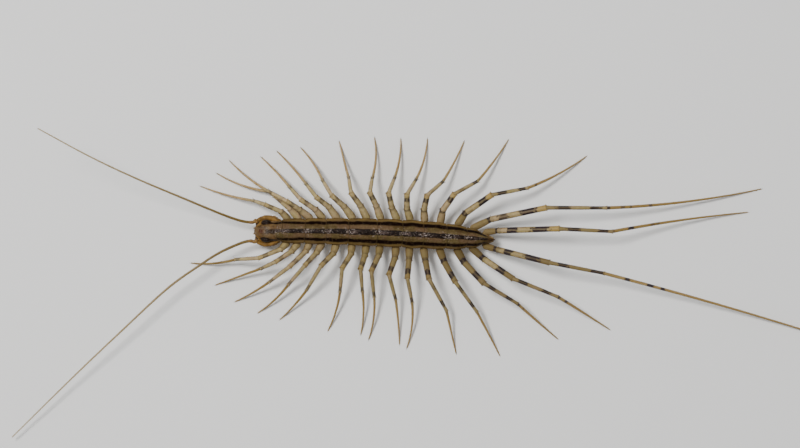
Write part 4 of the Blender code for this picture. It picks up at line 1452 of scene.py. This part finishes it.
def leg_segments(name, side, pair, pose, sizes):
    """The four straight parts of a leg, and the point where its tarsus starts."""
    x = HIP_STATIONS[pair - 1]
    reach = core_width(x) + GAP
    spots = [np.array((x, middle(x) + side * (reach - 0.2), HIP_Z - 0.05)),
             np.array((x, middle(x) + side * (reach + COXA_LENGTH), HIP_Z + COXA_RISE))]
    changes = HEIGHT_CHANGES.get((name, pair), (0.0, 0.0, 0.0))
    heights = (FIRST_JOINT_Z, ramp(pair, KNEE_HEIGHTS), ramp(pair, ANKLE_HEIGHTS))
    for sweep, span, height, change in zip(pose.sweeps, pose.spans, heights, changes):
        spot = spots[-1] + span * turned(side, sweep)
        spot[2] = height + change
        spots.append(spot)
    parts = ("coxa", "prefemur", "femur", "tibia")
    return [Segment(*given, pair, sizes) for given in zip(parts, spots, spots[1:])], spots[-1]


def tarsus_path(side, pose, ankle):
    """Points along the tarsus, which bends evenly over the floor and comes down to it."""
    length = pose.spans[3]
    steps = max(8, round(length / 0.25))
    path = [ankle]
    for step in range(1, steps + 1):
        turn = pose.sweeps[3] + pose.bend * ((step - 0.5) / steps - 0.5)
        spot = path[-1] + length / steps * turned(side, turn)
        spot[2] = FOOT_HEIGHT + (ankle[2] - FOOT_HEIGHT) * (1 - step / steps) ** TARSUS_DROOP
        path.append(spot)
    toe = path[-1] + TOE_LENGTH * unit(path[-1] - path[-2])
    toe[2] = FOOT_HEIGHT
    return np.array(path + [toe])


def tarsus_radii(share, pair, sizes):
    start, tip = mm(sizes.tarsus_radius) * ramp(pair, ((12, 1.0), (14, 1.16))), mm(sizes.tip_radius)
    return tip + (start - tip) * (1 - share) ** 0.8


def every_leg(sizes):
    """Name of the side, pair, segments and tarsus path of each leg."""
    for name, side, poses, _ in SIDES:
        for pair, pose in enumerate(poses, start=1):
            segments, ankle = leg_segments(name, side, pair, pose, sizes)
            yield name, pair, segments, tarsus_path(side, pose, ankle)


def make_legs(sizes):
    """Thirty jointed legs out to the ankle, each part cupped round the next."""
    for name, pair, segments, _ in every_leg(sizes):
        shape = Shape("band", "depth", "tone", "flank", "cup", "knee")
        for segment in segments:
            segment.add_to(shape, name, pair)
        limb = shape.make(f"limb_{name}_{pair:02d}", finish("leg"))
        ride(limb, "leg", f"leg_{name}_{pair:02d}")


def make_tarsi(sizes):
    """The long ends of the legs, each of many short rings."""
    lines = {"right": Lines(), "left": Lines()}
    for name, pair, _, path in every_leg(sizes):
        share = np.linspace(0.0, 1.0, len(path))
        band, depth = band_values(reaches(path), TARSUS_SPOTS.get((name, pair), PLAIN_SPOTS))
        lines[name].add(path, tarsus_radii(share, pair, sizes), band=band, depth=depth,
                        tone=ramp(pair, TARSUS_TONES_AND_SHADE[name]))
    for name, gathered in lines.items():
        tarsi = grow("tarsi_" + name, gathered.mesh("lines"), tree_for(ringed_tree),
                     ring_length=sizes.tarsus_ring, ring_flare=0.14, sides=8,
                     material=finish("tarsus"))
        ride(tarsi, "leg")


# Spines and hairs


def strip_place(index, strips, angle, share):
    """The place of a root on a skin that is laid out flat in strips, such as one for each leg."""
    angle, share = np.broadcast_arrays(angle, share)
    across = (index + 0.5 + 0.4 * np.sin(angle)) / strips
    return np.stack([across, 0.02 + 0.94 * share], axis=-1)


SPUR_ANGLES = {"prefemur": (-80, 0, 80), "femur": (-75, 75, 180), "tibia": (-60, 60, 180)}


def make_leg_spines(sizes):
    """Stout spurs round the joints, claws at the toes, and rows of small spines on the ridges."""
    dice = np.random.default_rng(SPINE_SEED)
    spurs, spinules = Roots(), Roots()
    for index, (_, _, segments, path) in enumerate(every_leg(sizes)):
        for order, segment in enumerate(segments[1:]):
            angles = np.radians(SPUR_ANGLES[segment.part])
            points = segment.surface(0.98, 0.93, angles)
            aims = 0.55 * segment.outward(angles) + 0.85 * segment.along
            spurs.add(points, aims, -segment.outward(angles),
                      mm(sizes.spur_length) * (0.9 + 0.1 * order),
                      strip_place(index, LEG_STRIPS, angles, (order + 0.9) / 4))
            for ridge in range(5):
                if segment.part == "prefemur" and ridge in (1, 4):
                    continue
                count = max(3, int(segment.length * sizes.spinules_per_mm))
                t = (np.arange(count) + 0.5 + dice.uniform(-0.2, 0.2, count)) / count
                t = 0.1 + 0.8 * t
                angle = np.full(count, 2 * math.pi * ridge / 5)
                share = np.interp(t, *smooth(LEG_OUTLINES[segment.part], 6).T)
                points = segment.surface(t, 0.96 * share, angle)
                aims = 0.9 * segment.outward(angle) + 0.7 * segment.along
                spinules.add(points, aims + dice.normal(0, 0.08, (count, 3)), segment.along,
                             mm(sizes.spinule_length) * dice.uniform(0.75, 1.15, count),
                             strip_place(index, LEG_STRIPS, angle, (order + t) / 4))
        ahead = unit(path[-1] - path[-2])
        spurs.add(path[-1:], [ahead - (0, 0, 0.08)], (0.0, 0.0, -1.0), CLAW_LENGTH,
                  strip_place(index, LEG_STRIPS, np.zeros(1), 0.99))
    for name, roots, slenderness, sides, pieces in (("leg_spurs", spurs, 0.13, 5, 3),
                                                    ("leg_spinules", spinules, 0.1, 3, 2)):
        spines = grow(name, roots.mesh("roots"), tree_for(spine_tree), slenderness=slenderness,
                      bend=0.12, sides=sides, pieces=pieces, material=finish("spine"))
        ride(spines, "leg")


def hairs_along(roots, path, radii, spacing, length, strip, dice, start=0.0):
    """Hairs round a thin feeler, leaning towards its tip."""
    along, across, up = directions(path)
    reach = reaches(path)
    places = np.arange(start + spacing, reach[-1] - 0.1, spacing)
    count = len(places)
    angles = dice.uniform(0, 2 * math.pi, count)
    at = [np.stack([np.interp(places, reach, row[:, axis]) for axis in range(3)], axis=1)
          for row in (path, along, across, up)]
    middle_line, ahead, sideways, above = at
    outward = np.sin(angles)[:, None] * sideways + np.cos(angles)[:, None] * above
    radius = np.interp(places, reach, radii)[:, None]
    points = middle_line + 0.85 * radius * outward
    aims = unit(0.75 * outward + 0.75 * ahead)
    aims[:, 2] = np.maximum(aims[:, 2], (0.03 - points[:, 2]) / length)
    flat = strip_place(*strip, angles, places / reach[-1])
    roots.add(points, aims, ahead.mean(axis=0), length * dice.uniform(0.7, 1.1, count), flat)


def make_hairs(sizes):
    """Fine hairs on the tarsi, feelers, palps and jaws, and bristles on the plates."""
    dice = np.random.default_rng(HAIR_SEED)
    tarsal, antennal, dorsal, oral = Roots(), Roots(), Roots(), Roots()
    for index, (_, pair, _, path) in enumerate(every_leg(sizes)):
        share = np.linspace(0.0, 1.0, len(path))
        radii = tarsus_radii(share, pair, sizes)
        for _ in range(2):
            hairs_along(tarsal, path, radii, mm(sizes.tarsus_ring), mm(sizes.hair_length),
                        (index, LEG_STRIPS), dice)
    for index, (_, _, _, stops) in enumerate(SIDES):
        path, _, radii = feeler_line(stops)
        for _ in range(3):
            hairs_along(antennal, path, radii, mm(sizes.feeler_ring), 0.8 * mm(sizes.hair_length),
                        (index, 2), dice, start=1.3)
    plate_bristles(sizes, dorsal)
    for index, (_, side, _, _) in enumerate(SIDES):
        path = smooth(mirrored(PALP, side), 10)
        hairs_along(oral, path, np.full(len(path), 0.15), 0.035, 0.2, (index, 4), dice, start=0.3)
        path = smooth(mirrored(FORCIPULE, side), 12)
        hairs_along(oral, path, np.full(len(path), 0.28), 0.06, 0.22, (index + 2, 4), dice,
                    start=0.4)
    made = (("tarsus_hairs", tarsal, "leg", 0.045), ("feeler_hairs", antennal, "antenna", 0.045),
            ("plate_bristles", dorsal, "tergite", 0.06), ("mouth_bristles", oral, "amber", 0.05))
    for name, roots, slot, slenderness in made:
        hairs = grow(name, roots.mesh("roots"), tree_for(spine_tree), slenderness=slenderness,
                     bend=0.2, sides=3, pieces=2, material=finish("spine"))
        ride(hairs, slot)


# Stage


def soft_light(name, place, target, size, power):
    light = bpy.data.lights.new(name, "AREA")
    light.shape = "DISK"
    light.size = size
    light.energy = power
    obj = bpy.data.objects.new(name, light)
    obj.location = place
    direction = np.array(target) - np.array(place)
    level = math.hypot(direction[0], direction[1])
    obj.rotation_euler = (math.atan2(level, -direction[2]), 0.0,
                          math.atan2(direction[1], direction[0]) - math.pi / 2)
    bpy.context.scene.collection.objects.link(obj)


def make_stage(stage):
    """The pale floor, soft lights, and a camera straight above as in the photograph."""
    mesh = bpy.data.meshes.new("floor")
    reach = stage.floor_reach
    corners = [(x * reach, y * reach, 0.0) for x, y in ((-1, -1), (1, -1), (1, 1), (-1, 1))]
    mesh.from_pydata(corners, [], [(0, 1, 2, 3)])
    mesh.materials.append(finish("floor"))
    link("floor", mesh)
    target = (0.0, 0.0, 0.0)
    soft_light("key_light", (-0.161, 0.11, 0.46), target, 0.12, stage.key_power)
    soft_light("fill_light", (0.35, -0.3, 0.6), target, 0.6, stage.fill_power)
    soft_light("top_light", (-0.25, 0.35, 0.8), target, 0.8, stage.top_power)
    world = bpy.data.worlds.new("pale_surround")
    world.use_nodes = True
    background = world.node_tree.nodes["Background"]
    background.inputs["Color"].default_value = (0.9, 0.92, 0.95, 1.0)
    background.inputs["Strength"].default_value = stage.surround
    bpy.context.scene.world = world
    camera = bpy.data.cameras.new("camera")
    camera.sensor_width = 36.0
    camera.lens = camera.sensor_width * stage.camera_height / stage.view_width
    camera.clip_start = 0.01
    camera.clip_end = 20.0
    obj = bpy.data.objects.new("camera", camera)
    obj.location = (stage.camera_x, stage.camera_y, stage.camera_height)
    obj.rotation_euler = (0.0, 0.0, stage.camera_turn)
    bpy.context.scene.collection.objects.link(obj)
    bpy.context.scene.camera = obj


# Settings


def length_setting(name, description, default):
    return FloatProperty(name=name, description=description, default=default, min=0.0,
                         precision=6, unit="LENGTH")


def tint(name, description, default):
    return FloatVectorProperty(name=name, description=description, default=default, size=3,
                               min=0.0, max=1.0, subtype="COLOR")


def power_setting(name, description, default):
    return FloatProperty(name=name, description=description, default=default, min=0.0,
                         unit="POWER")


class CentipedeSizes(bpy.types.PropertyGroup):
    """Sizes of the parts that the finish makes."""

    plate_thickness: length_setting("Plate Thickness", "Thickness of the plates", 0.00008)
    margin_bead: length_setting("Margin Bead", "Height of the bead round a plate", 0.00003)
    stoma_lip: length_setting("Stoma Lip", "Height of the lips at a plate's notch", 0.00009)
    bristle_length: length_setting("Bristle Length", "Length of the back's bristles", 0.0002)
    bristles_per_mm: IntProperty(name="Bristles", default=26, min=0,
                                 description="Bristles for each millimetre of the back")
    eye_rim: length_setting("Eye Rim", "Height of the rim round an eye", 0.00007)
    eye_fineness: IntProperty(name="Eye Fineness", default=4, min=2, max=5,
                              description="How many facets an eye has")
    feeler_ring: length_setting("Feeler Ring", "Length of a feeler's rings", 0.00016)
    tarsus_ring: length_setting("Tarsus Ring", "Length of a tarsus's rings", 0.0002)
    coxa_radius: length_setting("Coxa Radius", "Radius of a leg's root", 0.0004)
    prefemur_radius: length_setting("Prefemur Radius", "Radius of a leg's first part", 0.00049)
    femur_radius: length_setting("Femur Radius", "Radius of a leg's second part", 0.00038)
    tibia_radius: length_setting("Tibia Radius", "Radius of a leg's third part", 0.00024)
    tarsus_radius: length_setting("Tarsus Radius", "Radius where a tarsus starts", 0.00021)
    tip_radius: length_setting("Tip Radius", "Radius at the toe", 0.000072)
    spur_length: length_setting("Spur Length", "Length of the spurs at the joints", 0.0003)
    spinule_length: length_setting("Spinule Length", "Length of the legs' small spines", 0.00013)
    spinules_per_mm: FloatProperty(name="Spinules", default=4.5, min=0.0,
                                   description="Small spines for each millimetre of a ridge")
    hair_length: length_setting("Hair Length", "Length of the hairs on the tarsi", 0.00018)


class CentipedeColours(bpy.types.PropertyGroup):
    """Colours of the finish."""

    plate: tint("Plate", "Olive brown of the back", (0.093, 0.068, 0.025))
    plate_dark: tint("Plate Dark", "Darker mottling of the back", (0.056, 0.034, 0.012))
    plate_pale: tint("Plate Pale", "Paler grain of the back", (0.18, 0.125, 0.058))
    plate_rosy: tint("Plate Rosy", "Redder patches of the back", (0.112, 0.063, 0.036))
    margin: tint("Margin", "Ochre edge of the plates", (0.165, 0.106, 0.034))
    rim: tint("Rim", "Dark line round the plates", (0.06, 0.032, 0.01))
    stripe: tint("Stripe", "Side stripes", (0.006, 0.0013, 0.0003))
    median: tint("Median", "Middle stripe", (0.0075, 0.0032, 0.0017))
    streak: tint("Streak", "Greyer core of the middle stripe", (0.095, 0.062, 0.052))
    fleck: tint("Fleck", "Pale flecks", (0.38, 0.31, 0.27))
    skin: tint("Skin", "Soft skin", (0.3, 0.2, 0.085))
    # Darker mottling of the soft skin, and painted shade in its folds
    skin_dark_and_fold_shade: tint("Skin Dark", "Folds of the soft skin", (0.12, 0.07, 0.025))
    head: tint("Head", "Brown of the head", (0.15, 0.083, 0.033))
    head_dark: tint("Head Dark", "Darker mottling of the head", (0.06, 0.032, 0.012))
    head_spot: tint("Head Spot", "Red mark in front of the eyes", (0.06, 0.018, 0.008))
    eye: tint("Eye", "Facets of the eyes", (0.01, 0.0035, 0.0015))
    eye_haze: tint("Eye Haze", "Browner patches of the eyes", (0.024, 0.01, 0.005))
    eye_groove: tint("Eye Groove", "Between the facets", (0.018, 0.01, 0.006))
    feeler: tint("Feeler", "Near half of the feelers", (0.15, 0.096, 0.019))
    feeler_tip: tint("Feeler Tip", "Ends of the feelers", (0.42, 0.31, 0.15))
    tail: tint("Tail", "Tip of the trunk", (0.07, 0.034, 0.01))
    amber: tint("Amber", "Feelers and jaws", (0.25, 0.135, 0.033))
    amber_dark: tint("Amber Dark", "Darker rings of the feelers", (0.13, 0.064, 0.013))
    leg: tint("Leg", "Tan of the legs", (0.475, 0.365, 0.17))
    leg_dark: tint("Leg Dark", "Darker mottling of the legs", (0.34, 0.25, 0.112))
    leg_rosy: tint("Leg Rosy", "Rosy patches of the legs", (0.47, 0.32, 0.19))
    leg_olive: tint("Leg Olive", "Olive patches of the legs", (0.38, 0.31, 0.1))
    leg_knee: tint("Leg Knee", "Ends of the hind femurs", (0.36, 0.23, 0.058))
    # Painted highlight along the top of the legs
    leg_top_highlight: tint("Leg Pale", "Upper ridge of the legs", (0.51, 0.395, 0.205))
    # Partly the legs' own deeper colour, partly painted shade; the next colour is painted shade at
    # the roots of the hind legs
    leg_deep_and_shade: tint("Leg Deep", "Deeper ground colour of some legs", (0.16, 0.112, 0.042))
    leg_root_shade: tint("Leg Dusk", "Deepest ground colour, at the roots of the hind legs",
                   (0.08, 0.056, 0.021))
    # Painted shade on the legs' flanks, and the darker joints
    leg_flank_shade_and_joint: tint("Leg Edge", "Darker flanks and joints of the legs", (0.13, 0.08, 0.03))
    band: tint("Band", "Dark bands of the legs", (0.028, 0.019, 0.02))
    tarsus: tint("Tarsus", "Ochre ends of the legs", (0.46, 0.315, 0.15))
    tarsus_dark: tint("Tarsus Dark", "Darker rings of the tarsi", (0.33, 0.21, 0.08))
    # Partly the tarsi's own colour, partly painted shade
    tarsus_gold_and_shade: tint("Tarsus Gold", "Deeper tarsi of the left and hind legs", (0.25, 0.157, 0.042))
    tarsus_tip: tint("Tarsus Tip", "Greyish toes", (0.28, 0.23, 0.15))
    spine: tint("Spine", "Dark spines", (0.03, 0.015, 0.008))
    spine_pale: tint("Spine Pale", "Paler spines", (0.12, 0.065, 0.025))
    spine_root: tint("Spine Root", "Roots of the spines", (0.24, 0.15, 0.06))
    floor: tint("Floor", "Pale floor", (0.93, 0.92, 0.9))
    floor_shade: tint("Floor Shade", "Slightly darker floor", (0.9, 0.89, 0.87))


class CentipedeStage(bpy.types.PropertyGroup):
    """The floor, the lights and the camera."""

    floor_reach: FloatProperty(name="Floor Reach", description="Half the width of the floor",
                               default=3.0, min=0.1, unit="LENGTH")
    key_power: power_setting("Key Power", "Power of the main light", 2.3)
    fill_power: power_setting("Fill Power", "Power of the light across from it", 0.3)
    top_power: power_setting("Top Power", "Power of the wide light above", 0.9)
    surround: FloatProperty(name="Surround", description="Brightness of the pale surround",
                            default=0.3, min=0.0)
    camera_x: FloatProperty(name="Camera X", description="Place of the camera",
                            default=-0.00527, precision=6, unit="LENGTH")
    camera_y: FloatProperty(name="Camera Y", description="Place of the camera",
                            default=0.00919, precision=6, unit="LENGTH")
    camera_height: FloatProperty(name="Camera Height", description="Height of the camera",
                                 default=0.4, min=0.05, unit="LENGTH")
    camera_turn: FloatProperty(name="Camera Turn", description="Turn of the camera's frame",
                               default=math.radians(2.1), unit="ROTATION")
    view_width: FloatProperty(name="View Width", description="Width of floor that the camera sees",
                              default=0.1076, min=0.01, unit="LENGTH")


# Operators


class CENTIPEDE_OT_trunk_skin(bpy.types.Operator):
    """Makes the soft trunk under the plates"""

    bl_idname = "centipede.trunk_skin"
    bl_label = "Trunk Skin"

    def execute(self, context):
        make_trunk_skin()
        return {"FINISHED"}


class CENTIPEDE_OT_back_plates(bpy.types.Operator):
    """Makes the striped plates of the back"""

    bl_idname = "centipede.back_plates"
    bl_label = "Back Plates"

    def execute(self, context):
        make_back_plates(context.scene.centipede_sizes)
        return {"FINISHED"}


class CENTIPEDE_OT_tail(bpy.types.Operator):
    """Makes the tail end"""

    bl_idname = "centipede.tail"
    bl_label = "Tail"

    def execute(self, context):
        make_tail()
        return {"FINISHED"}


class CENTIPEDE_OT_head(bpy.types.Operator):
    """Makes the head capsule"""

    bl_idname = "centipede.head"
    bl_label = "Head"

    def execute(self, context):
        make_head(context.scene.centipede_sizes)
        return {"FINISHED"}


class CENTIPEDE_OT_eyes(bpy.types.Operator):
    """Makes the faceted eyes"""

    bl_idname = "centipede.eyes"
    bl_label = "Eyes"

    def execute(self, context):
        make_eyes(context.scene.centipede_sizes)
        return {"FINISHED"}


class CENTIPEDE_OT_mouthparts(bpy.types.Operator):
    """Makes the jaws, the shield between them, the mandibles and the palps"""

    bl_idname = "centipede.mouthparts"
    bl_label = "Mouthparts"

    def execute(self, context):
        make_mouthparts()
        return {"FINISHED"}


class CENTIPEDE_OT_feelers(bpy.types.Operator):
    """Makes the two long feelers"""

    bl_idname = "centipede.feelers"
    bl_label = "Feelers"

    def execute(self, context):
        make_feelers(context.scene.centipede_sizes)
        return {"FINISHED"}


class CENTIPEDE_OT_legs(bpy.types.Operator):
    """Makes the thirty legs out to the ankle"""

    bl_idname = "centipede.legs"
    bl_label = "Legs"

    def execute(self, context):
        make_legs(context.scene.centipede_sizes)
        return {"FINISHED"}


class CENTIPEDE_OT_tarsi(bpy.types.Operator):
    """Makes the ringed ends of the legs"""

    bl_idname = "centipede.tarsi"
    bl_label = "Tarsi"

    def execute(self, context):
        make_tarsi(context.scene.centipede_sizes)
        return {"FINISHED"}


class CENTIPEDE_OT_leg_spines(bpy.types.Operator):
    """Makes the spurs, claws and small spines of the legs"""

    bl_idname = "centipede.leg_spines"
    bl_label = "Leg Spines"

    def execute(self, context):
        make_leg_spines(context.scene.centipede_sizes)
        return {"FINISHED"}


class CENTIPEDE_OT_hairs(bpy.types.Operator):
    """Makes the hairs and bristles"""

    bl_idname = "centipede.hairs"
    bl_label = "Hairs"

    def execute(self, context):
        make_hairs(context.scene.centipede_sizes)
        return {"FINISHED"}


class CENTIPEDE_OT_stage(bpy.types.Operator):
    """Makes the floor, the lights and the camera"""

    bl_idname = "centipede.stage"
    bl_label = "Stage"

    def execute(self, context):
        make_stage(context.scene.centipede_stage)
        return {"FINISHED"}


OPERATORS = (CENTIPEDE_OT_trunk_skin, CENTIPEDE_OT_back_plates, CENTIPEDE_OT_tail,
             CENTIPEDE_OT_head, CENTIPEDE_OT_eyes, CENTIPEDE_OT_mouthparts,
             CENTIPEDE_OT_feelers, CENTIPEDE_OT_legs, CENTIPEDE_OT_tarsi,
             CENTIPEDE_OT_leg_spines, CENTIPEDE_OT_hairs, CENTIPEDE_OT_stage)
SETTINGS = (("centipede_sizes", CentipedeSizes), ("centipede_colours", CentipedeColours),
            ("centipede_stage", CentipedeStage))


class CENTIPEDE_PT_panel(bpy.types.Panel):
    """Lists the settings and the steps"""

    bl_idname = "CENTIPEDE_PT_panel"
    bl_label = "House Centipede"
    bl_space_type = "VIEW_3D"
    bl_region_type = "UI"
    bl_category = "Centipede"

    def draw(self, context):
        for attribute, group in SETTINGS:
            box = self.layout.box()
            for label in group.__annotations__:
                box.prop(getattr(context.scene, attribute), label)
        for operator in OPERATORS:
            self.layout.operator(operator.bl_idname)


def register():
    for attribute, group in SETTINGS:
        bpy.utils.register_class(group)
        setattr(bpy.types.Scene, attribute, PointerProperty(type=group))
    for operator in OPERATORS:
        bpy.utils.register_class(operator)
    bpy.utils.register_class(CENTIPEDE_PT_panel)


def unregister():
    bpy.utils.unregister_class(CENTIPEDE_PT_panel)
    for operator in reversed(OPERATORS):
        bpy.utils.unregister_class(operator)
    for attribute, group in reversed(SETTINGS):
        delattr(bpy.types.Scene, attribute)
        bpy.utils.unregister_class(group)


def main():
    register()
    steps = bpy.ops.centipede
    steps.trunk_skin()
    steps.back_plates()
    steps.tail()
    steps.head()
    steps.eyes()
    steps.mouthparts()
    steps.feelers()
    steps.legs()
    steps.tarsi()
    steps.leg_spines()
    steps.hairs()
    steps.stage()


if __name__ == "__main__":
    main()
